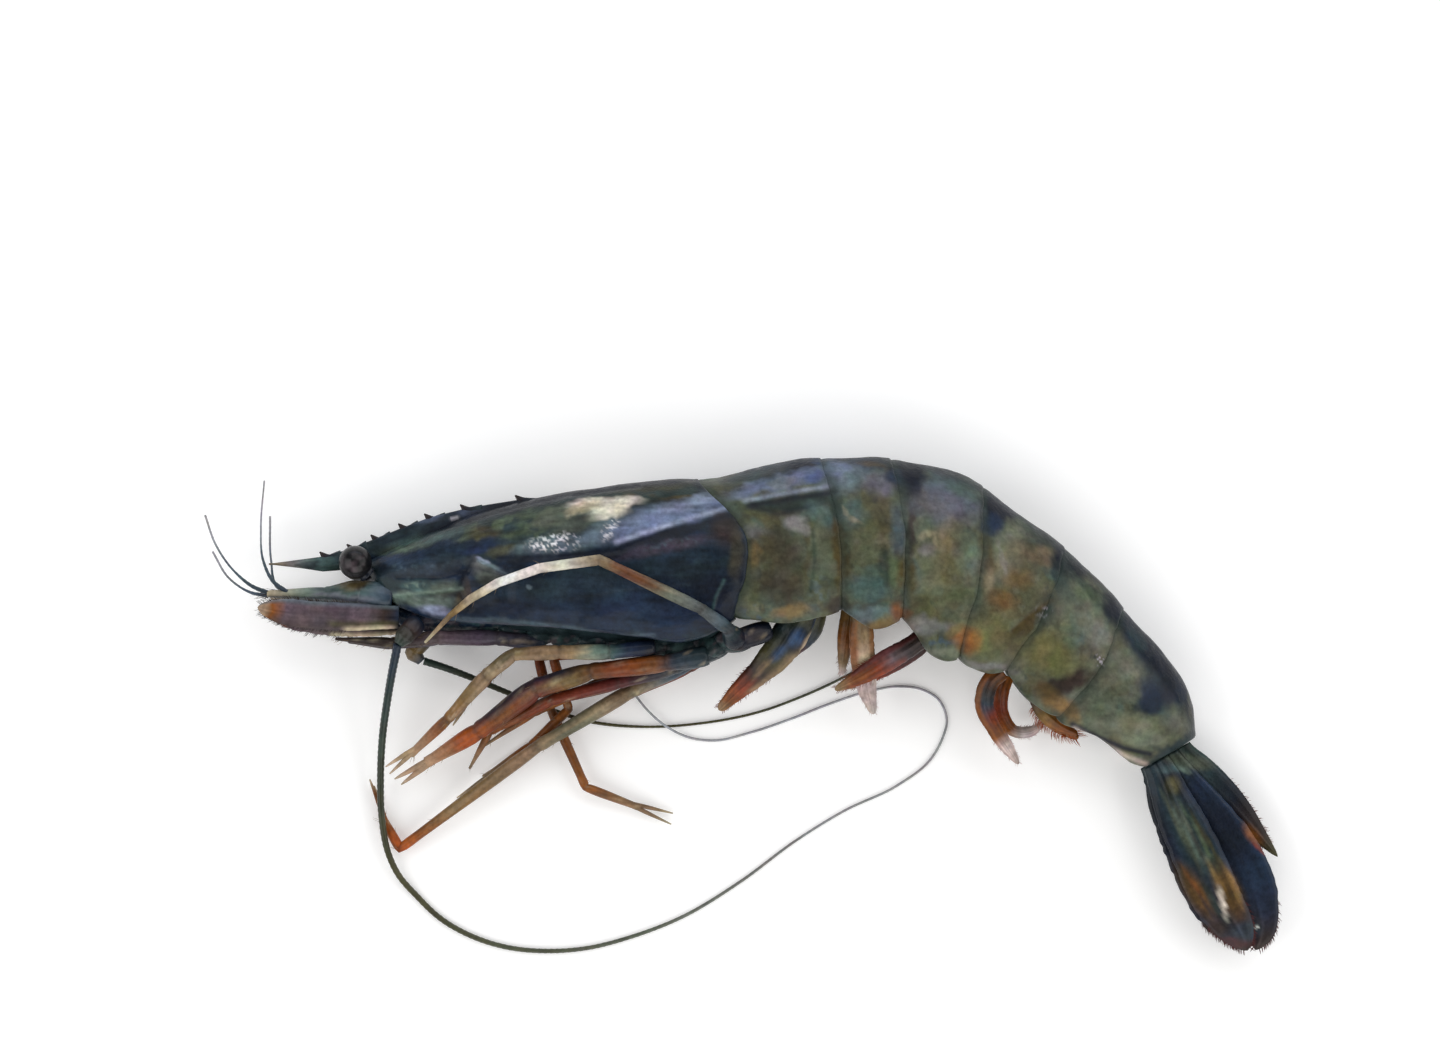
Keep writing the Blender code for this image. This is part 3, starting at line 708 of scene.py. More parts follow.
def section(recess: bool, columns: int) -> Array:
    """The whole cross-section as rows of (up, out, bowing height), evenly spaced round it.

    Args:
        recess: Whether the belly is hollow between the lobes.
        columns: How many points.

    Returns:
        The rows, from the middle of the belly up the right flank and down the left one.
    """
    arch = np.radians((0, 20, 40, 60, 80))
    flank = [(WIDEST_AT + (1 - WIDEST_AT) * math.cos(a), math.sin(a)) for a in arch]
    flank += [(0.30, 0.985), (0.16, 0.94), (0.06, 0.87), (0.0, 0.79)]
    belly = [(0.0, 0.66), (BELLY_RECESS, 0.45), (BELLY_RECESS - 0.01, 0.0)] if recess else [
        (-0.01, 0.5), (-0.015, 0.0)]
    left = [(up, out, up) for up, out in flank] + [(up, out, 0.0) for up, out in belly]
    right = [(up, -out, bowed) for up, out, bowed in left[:0:-1]]
    ring = np.array(right + left)
    spread = ring[:, :2] * (SECTION_DEPTH, SECTION_HALF)
    return SmoothTable.through(spread, ring).evenly(columns + 1)[:-1]


@dataclass(frozen=True)
class Plate:
    """One ring of shell, whose front slips under the plate before it and whose hind edge is a rounded lip."""

    name: str
    start: float
    end: float
    start_bow: float
    end_bow: float
    rows: int
    recess: bool
    front_step: bool
    lobed: bool
    paint: Paint
    base: Hue
    # the seams' dark colour, also painted as shade where a tail plate slips under the plate before
    seam: Hue
    seamed: bool = True
    front: tuple = ((-1.2, -0.35), (-0.6, -0.12))
    columns: int = 300
    dents: float = 0.14
    fold: float = 0.36
    fold_depth: float = 0.05

    def lobe(self, t: Array) -> Array:
        """How far the belly edge is cut up along the plate."""
        if self.lobed:
            return LOBE_NOTCH * (1 - np.sin(math.pi * t) ** 0.6)
        return LOBE_NOTCH * np.maximum(0.0, (t - LAST_LOBE_FROM) / (1 - LAST_LOBE_FROM)) ** 2

    @staticmethod
    def wander(up: Array, out: Array, seam: float) -> Array:
        """How far a seam strays from its line round the body, the same for both plates that meet there."""
        spots = np.stack([up * SECTION_DEPTH, out * SECTION_HALF, np.full(len(up), seam)], -1)
        return 0.3 * noise(spots, 4.0, 131) + 0.14 * noise(spots, 1.5, 137)

    def grid(self) -> tuple:
        """Rows of points, and how far along the plate each row lies."""
        length = self.end - self.start
        t = np.linspace(0, 1 - LIP_ROOM / length, self.rows)
        swell = SHELL_STEP * (2 * t - 1 if self.front_step else np.maximum(0.0, 2 * t - 1))
        if self.front_step:
            swell = swell + FRONT_SWELL * np.exp(-((t * length / FRONT_REACH) ** 2))
        swell = swell - HIND_DIP * np.exp(-(((1 - t) * length / HIND_REACH) ** 2))
        rows = [(0.0, shift, swell[0] + drop) for shift, drop in self.front]
        rows += list(zip(t, np.zeros(len(t)), swell))
        rows += [(1.0, shift, SHELL_STEP + drop) for shift, drop in LIP]
        t, shift, swell = (np.array([row[k] for row in rows])[:, None] for k in range(3))
        up, out, bowed = section(self.recess, self.columns).T
        bow = np.sin(math.pi * np.clip(bowed, 0, 1)) ** 1.3
        first, last = self.start + self.start_bow * bow, self.end + self.end_bow * bow
        if self.front_step:
            first = first + self.wander(up, out, self.start)
        if self.seamed:
            last = last + self.wander(up, out, self.end + GAP)
        notch = self.lobe(np.clip(t, 0, 1))
        place = first + t * (last - first) + shift
        return body_points(place, notch + up * (1 - notch), out + 0 * t, swell + 0 * place), t

    def folded(self, flat: Array, share: Array) -> Array:
        """How near each point is to the plate's wandering fold: 1 on it, 0 far off.

        Args:
            flat: The points.
            share: How far along the plate each one is.

        Returns:
            Shares from 0 to 1.
        """
        away = (share - self.fold) * (self.end - self.start) + 1.3 * noise(flat, 4.0, 95)
        return np.exp(-((away / 0.6) ** 2)) * smoothstep(-0.3, 0.3, noise(flat, 5.0, 99))

    def seam_and_shade(self, flat: Array, share: Array, fold: Array) -> Array:
        """How much seam colour, partly painted shade, each point takes near the plate's two edges and on its
        fold.

        Args:
            flat: The points.
            share: How far along the plate each one is.
            fold: How near it is to the fold.

        Returns:
            Shares from 0 to 1.
        """
        length = self.end - self.start
        ragged = 1.1 + noise(flat, 3.4, 121)
        front = np.exp(-(((share * length) / (1.2 * ragged)) ** 2))
        hind = np.exp(-((((1 - share) * length) / (0.5 * ragged)) ** 2))
        # on a tail plate the front darkening is painted shade under the plate before; the rest is the seams'
        # own dark colour
        return np.clip(front + 0.5 * hind + 0.2 * fold, 0, 1) * (0.55 if self.front_step else 0.3)

    def make(self) -> bpy.types.Object:
        """Shapes, colours and dresses the plate."""
        grid, t = self.grid()
        flat = grid.reshape(-1, 3)
        share = np.broadcast_to(t, grid.shape[:2]).reshape(-1)
        fold = self.folded(flat, share)
        push = self.dents * (noise(flat, 6.0, 81) + 0.5 * noise(flat, 1.8, 91))
        push -= self.fold_depth * fold * (1 + noise(flat, 4.0, 97))
        for crease in self.paint.creases:
            push -= crease.depth * crease.reach(flat)
        row = np.arange(len(grid))
        ease = smoothstep(0.0, 1.0, np.minimum(row, row[::-1])[:, None] / EASED_ROWS)
        grid = grid + grid_normals(grid) * (push.reshape(grid.shape[:2]) * ease)[..., None]
        tint = self.paint.colour(grid.reshape(-1, 3), np.tile(self.base.light, (len(flat), 1)))
        # dark seams, and painted shade where a tail plate slips under the plate before
        tint += (self.seam.light - tint) * self.seam_and_shade(flat, share, fold)[:, None]
        skin = Skin()
        skin.add(grid, tint.reshape(grid.shape))
        return skin.piece("shell_" + self.name, BODY_FINISH if self.front_step else HEAD_FINISH, self.name)


HEAD_MOTTLES = each(
    Mottle,
    (Hue.SHADOW_BLUE, 4.0, 0.5, 0.6, 201, 2.0),
    (Hue.DARK_TEAL, 2.2, 0.25, 0.6, 211, 2.5),
    (Hue.INK, 1.6, 0.1, 0.6, 221, 3.0),
)
HEAD_PATCHES = each(
    Patch,
    (655, 575, 70, 20, 10, Hue.DARK_TEAL, 0.55, 0.7),
    (620, 608, 130, 26, 0, Hue.SHADOW_BLUE, 0.75, 0.7),
    (640, 606, 110, 24, 0, Hue.MIDNIGHT, 0.5, 0.7),
    (600, 622, 80, 8, -3, Hue.NAVY, 0.7, 0.6),
    (735, 585, 26, 40, 8, Hue.INK, 0.7, 0.5),
    (560, 590, 60, 14, 0, Hue.DARK_TEAL, 0.5, 0.8),
    # crest
    (560, 518, 190, 26, 11, Hue.DARK_TEAL, 0.95, 0.4),
    (560, 492, 190, 10, 11, Hue.INK, 0.8, 0.6),
    (600, 500, 150, 14, 8, Hue.DEEP_GREEN, 0.7, 0.5),
    (480, 512, 60, 9, 15, Hue.SLATE, 0.55, 0.6),
    (472, 512, 15, 6, 10, Hue.LILAC, 0.6),
    (432, 517, 16, 4, 20, Hue.LILAC, 0.35),
    (430, 537, 42, 6, 14, Hue.SEA, 0.7, 0.6),
    (400, 549, 24, 5, 14, Hue.MOSS, 0.5),
    (500, 530, 44, 12, 14, Hue.MOSS, 0.75, 0.6, 2.4),
    (484, 535, 16, 8, 10, Hue.BROWN_OLIVE, 0.6),
    (525, 536, 22, 12, 20, Hue.MOSS, 0.55, 0.7, 1.4),
    (535, 516, 30, 10, 14, Hue.MOSS, 0.6, 0.6, 1.8),
    (520, 505, 50, 5, 12, Hue.INK, 0.7),
    (560, 515, 24, 8, 20, Hue.GREY_OLIVE, 0.7),
    (455, 547, 60, 6, 8, Hue.NAVY, 0.9),
    (478, 550, 22, 5, 10, Hue.MIDNIGHT, 0.9),
    (505, 549, 16, 5, 20, Hue.OLIVE, 0.5),
    (668, 492, 44, 9, 4, Hue.BROWN_OLIVE, 0.8, 0.5, 2.2),
    (655, 486, 40, 5, 4, Hue.DARK_OLIVE, 0.7),
    (640, 480, 100, 5, 4, Hue.INK, 0.9),
    (545, 494, 90, 5, 12, Hue.INK, 0.9),
    (707, 490, 12, 7, -20, Hue.INK, 0.8),
    # pale patch and glints
    (606, 504, 36, 7, 3, Hue.CREAM, 1.0, 0.3),
    (608, 515, 20, 6, 8, Hue.CREAM, 0.95, 0.4),
    (584, 508, 18, 5, 16, Hue.SAND, 0.8, 0.5),
    (575, 526, 30, 8, 20, Hue.GREY_OLIVE, 0.5),
    (552, 546, 34, 9, 8, Hue.MIST, 0.75, 0.5),
    (556, 542, 22, 9, 10, Hue.WHITE, 0.85, 0.5, 0.36),
    (603, 533, 22, 9, 30, Hue.MIST, 0.7, 0.6),
    (613, 530, 11, 5, 50, Hue.WHITE, 0.8, 0.5, 0.36),
    # lilac band: a painted reflection along the upper flank, ending in a painted glint
    (646, 522, 34, 11, 22, Hue.LILAC, 0.75, 0.6),
    (690, 509, 50, 10, 14, Hue.LILAC, 0.9, 0.5),
    (734, 493, 18, 9, 18, Hue.LILAC, 0.9, 0.5),
    (700, 500, 44, 5, 12, Hue.PALE_LILAC, 0.35, 0.6),
    (733, 489, 6, 3, 0, Hue.WHITE, 0.8),
    # flank
    (664, 546, 44, 6, 12, Hue.PLUM, 0.7, 0.7),
    (676, 541, 36, 5, 12, Hue.STEEL, 0.55, 0.6, 0.5),
    (650, 540, 60, 5, 17, Hue.INK, 0.7),
    (724, 528, 12, 18, 0, Hue.UMBER, 0.85, 0.6),
    (736, 548, 7, 26, 0, Hue.MUD, 0.7, 0.6),
    (705, 585, 26, 14, -20, Hue.INK, 0.5),
    (725, 634, 30, 8, 20, Hue.DARK_TEAL, 0.7, 0.6, 0.8),
    # face
    (410, 566, 52, 14, 4, Hue.SHADOW_BLUE, 0.9, 0.5),
    (400, 558, 26, 5, 6, Hue.MIDNIGHT, 0.8),
    (415, 568, 30, 7, 10, Hue.STEEL, 0.8, 0.6, 0.7),
    (446, 566, 16, 8, 0, Hue.INK, 0.6),
    (418, 565, 34, 10, 6, Hue.STEEL, 0.35, 0.7),
    (487, 570, 20, 8, -18, Hue.BLUSH_GREY, 0.55, 0.6),
    (492, 578, 16, 7, -10, Hue.GREY_OLIVE, 0.5),
    # the next three tiny pale spots are painted glints
    (484, 561, 6, 2.5, -10, Hue.PALE_LILAC, 0.9),
    (453, 519, 3.5, 1.8, 10, Hue.WHITE, 0.85),
    (528, 585, 3, 2, 0, Hue.MIST, 0.9),
    (430, 586, 30, 8, -4, Hue.TEAL, 0.85, 0.6),
    (422, 586, 14, 5, -10, Hue.SAGE, 0.9, 0.5, 0.8),
    (446, 590, 16, 9, 0, Hue.OLIVE, 0.45, 0.6),
    (420, 600, 36, 6, -8, Hue.SAGE, 0.75, 0.6),
    (437, 611, 16, 5, -16, Hue.PALE_LILAC, 0.6, 0.6),
    (462, 600, 6, 12, -30, Hue.OCHRE, 0.55, 0.6),
    (468, 588, 4, 10, 20, Hue.UMBER, 0.8),
    (385, 583, 16, 5, 0, Hue.DARK_TEAL, 0.7),
    (378, 570, 12, 6, 20, Hue.INK, 0.8),
    # lower edge
    (500, 605, 44, 10, 0, Hue.INK, 0.5, 0.7),
    (500, 624, 60, 4, -4, Hue.STEEL, 0.7, 0.6),
    (560, 632, 70, 5, -6, Hue.PLUM, 0.6, 0.6),
    (640, 640, 60, 6, 0, Hue.DARK_TEAL, 0.6, 0.6, 0.8),
)
HEAD_CREASES = each(
    Crease,
    # the pale lilac line is the painted bright lower edge of the reflection band
    (((617, 542), (662, 527), (709, 513), (741, 503)), 0.45, -0.1, Hue.PALE_LILAC, 0.75),
    (((620, 549), (662, 534), (709, 521), (741, 512)), 0.6, 0.12, Hue.INK, 0.7),
    (((456, 618), (500, 620), (558, 625), (580, 628), (607, 635), (654, 634)), 0.35, -0.14, Hue.STEEL, 0.8),
    (((450, 626), (500, 628), (560, 634), (620, 642)), 0.4, 0.16, Hue.INK, 0.8),
    (((474, 560), (466, 575), (460, 590), (470, 608)), 0.7, 0.25, Hue.INK, 0.7),
    (((398, 577), (440, 577), (468, 571)), 0.5, 0.2, Hue.INK, 0.6),
    (((480, 560), (497, 568), (512, 577)), 0.35, -0.15, Hue.MIST, 0.8),
    (((512, 577), (470, 566)), 0.5, 0.2, Hue.INK, 0.5),
    (((500, 558), (560, 556), (620, 550)), 0.7, 0.2, Hue.INK, 0.8),
    (((430, 531), (500, 512), (560, 497), (640, 486)), 0.4, 0.15, Hue.INK, 0.6),
    (((380, 597), (430, 592), (463, 588)), 0.4, -0.15, Hue.SAGE, 0.6),
    (((724, 488), (733, 500), (742, 518), (749, 540)), 0.5, 0.12, Hue.DARK_TEAL, 0.6),
    (((724, 580), (716, 596), (712, 612)), 0.3, -0.1, Hue.TEAL, 0.7),
    (((385, 543), (420, 533), (470, 522)), 0.35, 0.1, Hue.INK, 0.6),
    (((570, 600), (620, 590), (690, 584)), 0.3, 0.05, Hue.SLATE, 0.5),
    (((426, 535), (461, 520), (517, 504), (570, 493), (621, 486), (665, 482), (700, 479)),
     1.1, 0.0, Hue.INK, 0.75),
)
HEAD_PAINT = Paint(HEAD_PATCHES, HEAD_CREASES, HEAD_MOTTLES, 0.26, 0.6, 0.3)
BODY_MOTTLES = each(
    Mottle,
    (Hue.OLIVE, 5.0, 0.5, 0.6, 301),
    (Hue.TEAL, 3.6, 0.15, 0.45, 311),
    (Hue.MUD, 2.2, 0.15, 0.5, 321),
    (Hue.PALE_OLIVE, 1.3, 0.1, 0.4, 331),
    (Hue.DEEP_GREEN, 0.9, 0.0, 0.4, 341),
)
BODY_PATCHES = each(
    Patch,
    # first segment
    (790, 560, 44, 46, 0, Hue.MUD, 0.4, 0.6),
    (770, 470, 44, 12, 12, Hue.SLATE, 0.8, 0.5),
    (806, 461, 22, 11, 10, Hue.INK, 1.0, 0.5),
    (826, 458, 12, 8, 0, Hue.BLUE, 0.8),
    # painted reflection: the lilac band carried on from the head
    (782, 482, 50, 7, 14, Hue.LILAC, 0.75, 0.5),
    (818, 477, 12, 6, 10, Hue.VIOLET_BLUE, 0.8, 0.5),
    (782, 482, 12, 6, 10, Hue.BLUSH_GREY, 0.6),
    (790, 502, 50, 6, 6, Hue.DEEP_GREEN, 0.95, 0.5),
    (764, 512, 26, 8, -14, Hue.DARK_OLIVE, 0.6),
    (818, 514, 16, 9, -30, Hue.SEA, 0.75, 0.6),
    (826, 522, 10, 8, 0, Hue.TEAL, 0.8, 0.6),
    # the next three pinkish-grey spots are painted glints
    (794, 523, 12, 8, -30, Hue.BLUSH_GREY, 0.85, 0.5),
    (804, 531, 7, 6, -30, Hue.BLUSH_GREY, 0.7, 0.5),
    (755, 531, 11, 6, 0, Hue.BLUSH_GREY, 0.65, 0.6),
    (752, 556, 7, 12, 0, Hue.OCHRE, 0.7, 0.6),
    (775, 548, 16, 20, 10, Hue.MUD, 0.75, 0.6),
    (748, 590, 10, 18, 0, Hue.OLIVE, 0.7, 0.6),
    (780, 590, 22, 16, 0, Hue.MUD, 0.6, 0.6),
    (822, 560, 12, 40, 4, Hue.GREY_OLIVE, 0.8, 0.5),
    (818, 590, 10, 14, 0, Hue.MIST, 0.35, 0.6, 0.8),
    (840, 552, 6, 46, 4, Hue.BROWN_OLIVE, 0.9, 0.5),
    (836, 508, 8, 14, 24, Hue.DEEP_GREEN, 0.9, 0.5),
    (790, 612, 18, 7, 10, Hue.GOLD, 0.6, 0.6),
    (836, 606, 12, 9, 30, Hue.UMBER, 0.85, 0.5),
    (756, 612, 14, 6, 0, Hue.STEEL, 0.7, 0.6, 0.8),
    # second
    (862, 462, 30, 8, 0, Hue.SLATE, 0.9, 0.5),
    # painted highlight: pale blue-grey and lilac along the back edge
    (846, 478, 22, 14, 20, Hue.MIST, 0.85, 0.6),
    (838, 470, 12, 8, 0, Hue.LILAC, 0.6),
    (882, 484, 16, 12, 0, Hue.LAVENDER_GREY, 0.85, 0.6),
    (874, 463, 12, 4, 0, Hue.OCHRE, 0.6),
    (905, 474, 16, 18, 10, Hue.INK, 0.95, 0.5),
    (894, 476, 10, 8, 0, Hue.MIDNIGHT, 0.8),
    (874, 526, 18, 26, 0, Hue.OLIVE, 0.6, 0.7),
    (884, 512, 12, 10, 0, Hue.UMBER, 0.3, 0.7),
    (868, 545, 14, 16, 0, Hue.PALE_OLIVE, 0.35, 0.7),
    (852, 516, 14, 12, 0, Hue.SEA, 0.6, 0.6),
    (897, 530, 8, 22, 0, Hue.STEEL, 0.7, 0.6),
    # the two sand strokes are a painted curved glint
    (847, 513, 6, 2, -50, Hue.SAND, 0.3, 0.8),
    (856, 521, 6, 1.8, -6, Hue.SAND, 0.3, 0.8),
    (870, 590, 22, 16, 0, Hue.TEAL, 0.75, 0.6),
    (884, 566, 7, 16, 10, Hue.DEEP_GREEN, 0.7, 0.6),
    (893, 570, 6, 16, 10, Hue.MOSS, 0.8, 0.6),
    (866, 612, 22, 7, -4, Hue.MIST, 0.6, 0.6),
    (870, 602, 20, 3, 6, Hue.UMBER, 0.4, 0.6),
    (890, 626, 24, 7, 0, Hue.GOLD, 0.7, 0.6),
    (899, 612, 8, 9, 0, Hue.RUST, 0.8, 0.6),
    # third
    (911, 530, 5, 26, -4, Hue.UMBER, 0.9, 0.5),
    (904, 572, 8, 18, 20, Hue.BROWN_OLIVE, 0.9, 0.5),
    (944, 484, 28, 16, -16, Hue.STEEL, 0.7, 0.6),
    (940, 490, 14, 8, -10, Hue.MIST, 0.35, 0.6),
    (914, 478, 10, 26, -6, Hue.INK, 0.95, 0.5),
    (968, 498, 20, 14, -30, Hue.SEA, 0.75, 0.6),
    (950, 464, 40, 7, -16, Hue.INK, 0.7),
    (944, 508, 34, 14, -6, Hue.LAVENDER_GREY, 0.75, 0.7),
    # the next three pale marks are painted glints
    (925, 535, 8, 2.5, 30, Hue.SAND, 0.35, 0.6),
    (932, 541, 2.5, 6, 0, Hue.SAND, 0.35, 0.6),
    (926, 550, 7, 6, 0, Hue.BLUSH_GREY, 0.7, 0.6),
    (943, 540, 12, 18, 0, Hue.TAN, 0.4, 0.7),
    (926, 578, 12, 16, 0, Hue.PALE_OLIVE, 0.6, 0.7),
    (984, 560, 9, 34, 4, Hue.BROWN_OLIVE, 0.85, 0.6),
    (950, 590, 30, 40, 0, Hue.OLIVE_YELLOW, 0.4, 0.7),
    (968, 560, 12, 26, 10, Hue.SAGE, 0.3, 0.7),
    (928, 626, 26, 8, -8, Hue.BLUSH_GREY, 0.85, 0.6),
    (937, 646, 20, 7, -8, Hue.STEEL, 0.8, 0.6, 0.9),
    (952, 654, 20, 4, 0, Hue.PALE_OLIVE, 0.8),
    # fourth
    (1002, 500, 20, 26, -14, Hue.INK, 1.0, 0.4),
    (992, 524, 12, 12, 0, Hue.MIDNIGHT, 0.95, 0.5),
    (1046, 536, 30, 10, -40, Hue.DEEP_GREEN, 0.6),
    (1008, 552, 12, 26, -10, Hue.PALE_OLIVE, 0.85, 0.6),
    (1002, 560, 3, 16, 6, Hue.BLUSH_GREY, 0.6),
    (1030, 560, 18, 22, -20, Hue.MUD, 0.5, 0.7),
    (1014, 560, 16, 18, -10, Hue.TAN, 0.3, 0.8),
    (1042, 556, 13, 10, -30, Hue.TAN, 0.45, 0.7),
    # painted glint
    (987, 581, 6, 8, 0, Hue.SAND, 0.5, 0.7),
    (1018, 580, 14, 10, 0, Hue.OCHRE, 0.7, 0.6),
    (1000, 599, 14, 9, -20, Hue.RUST, 0.45, 0.7),
    (990, 634, 28, 26, 0, Hue.OLIVE_YELLOW, 0.8, 0.6),
    (965, 638, 12, 11, 0, Hue.ORANGE_GOLD, 0.75, 0.8),
    (964, 645, 9, 6, 0, Hue.RUST, 0.55, 0.8),
    (955, 632, 10, 4, 30, Hue.OLIVE_YELLOW, 0.6),
    (985, 664, 26, 4, -8, Hue.BLUSH_GREY, 0.8, 0.6),
    (1022, 640, 14, 12, 40, Hue.DARK_OLIVE, 0.9, 0.6),
    (1046, 606, 10, 12, 0, Hue.DEEP_GREEN, 0.85, 0.6),
    # fifth
    (1072, 558, 20, 20, -44, Hue.INK, 1.0, 0.4),
    (1060, 585, 6, 18, 14, Hue.DARK_TEAL, 0.85, 0.5),
    # painted glint: speckled pale grey
    (1043, 612, 9, 7, 0, Hue.PALE_GREY, 0.9, 0.4, 0.4),
    (1082, 604, 26, 20, -30, Hue.PALE_OLIVE, 0.65, 0.6),
    (1092, 590, 24, 6, -40, Hue.DEEP_GREEN, 0.6),
    (1100, 632, 15, 13, 0, Hue.BLUSH_GREY, 0.45, 0.7),
    (1117, 612, 10, 20, 30, Hue.INK, 0.95, 0.5),
    (1050, 655, 34, 20, -20, Hue.OLIVE_YELLOW, 1.0, 0.6),
    (1026, 624, 16, 6, 30, Hue.BROWN_OLIVE, 0.9, 0.5),
    (1066, 682, 26, 9, 14, Hue.UMBER, 0.95, 0.5),
    (1058, 703, 26, 10, -40, Hue.GOLD, 0.9, 0.5),
    (1045, 690, 14, 8, 0, Hue.BROWN_OLIVE, 0.8, 0.5),
    # sixth
    (1144, 640, 40, 20, -50, Hue.SHADOW_BLUE, 0.95, 0.5),
    (1156, 652, 24, 12, -56, Hue.INK, 0.85),
    (1136, 638, 16, 6, -50, Hue.DARK_TEAL, 0.8),
    (1120, 672, 18, 20, 0, Hue.PALE_OLIVE, 0.6, 0.7),
    (1178, 690, 20, 42, 10, Hue.SHADOW_BLUE, 0.85, 0.6),
    (1168, 674, 14, 22, 10, Hue.INK, 0.85, 0.6),
    (1184, 705, 9, 30, 6, Hue.SHADOW_BLUE, 0.7, 0.6),
    (1150, 702, 16, 14, 30, Hue.SHADOW_BLUE, 1.0, 0.5),
    (1148, 690, 12, 14, 0, Hue.NAVY, 0.8, 0.5),
    (1130, 728, 48, 14, -24, Hue.PALE_OLIVE, 1.0, 0.6),
    (1180, 722, 12, 14, 0, Hue.PALE_OLIVE, 0.7, 0.6),
    (1100, 700, 16, 20, 0, Hue.GREY_OLIVE, 0.6, 0.7),
    (1192, 695, 2.5, 30, 6, Hue.PALE_OLIVE, 0.8),
    # painted glint: speckled pale grey at the seam
    (1100, 657, 5, 10, 10, Hue.PALE_GREY, 0.8, 0.5, 0.4),
    (1094, 668, 6, 16, 20, Hue.INK, 0.8, 0.5, 0.9),
    (1176, 748, 26, 5, 0, Hue.DEEP_GREEN, 0.9, 0.5),
    (1172, 753, 32, 9, 33, Hue.DARK_TEAL, 0.95, 0.4),
)
BODY_CREASES = each(
    Crease,
    # the pale lilac line is the painted bright lower edge of the reflection band
    (((745, 501), (800, 491), (828, 486)), 0.45, -0.1, Hue.PALE_LILAC, 0.6),
    (((748, 506), (800, 497), (834, 492)), 0.6, 0.14, Hue.INK, 0.8),
    (((752, 506), (778, 514), (806, 508)), 0.6, 0.1, Hue.INK, 0.6),
    (((812, 530), (814, 560), (810, 590)), 0.4, 0.1, Hue.DEEP_GREEN, 0.5),
    (((1050, 600), (1028, 616), (1012, 630)), 0.5, 0.16, Hue.BROWN_OLIVE, 0.9),
    (((1072, 724), (1100, 738), (1124, 748), (1150, 754)), 0.55, 0.12, Hue.INK, 0.95),
    (((1074, 729), (1100, 744), (1125, 756), (1146, 764)), 0.5, -0.05, Hue.PINK_FILM, 0.85),
    (((860, 457), (893, 459), (935, 466), (985, 489), (1030, 522), (1067, 550), (1100, 582), (1126, 612),
     (1165, 653), (1190, 695), (1197, 735)), 1.3, 0.0, Hue.INK, 0.7),
    (((745, 470), (775, 464), (822, 458), (860, 457)), 0.7, 0.0, Hue.SHADOW_BLUE, 0.6),
)
BODY_PAINT = Paint(BODY_PATCHES, BODY_CREASES, BODY_MOTTLES, 0.22, 0.8, 0.08, 0.1)


# The head's beak and chest

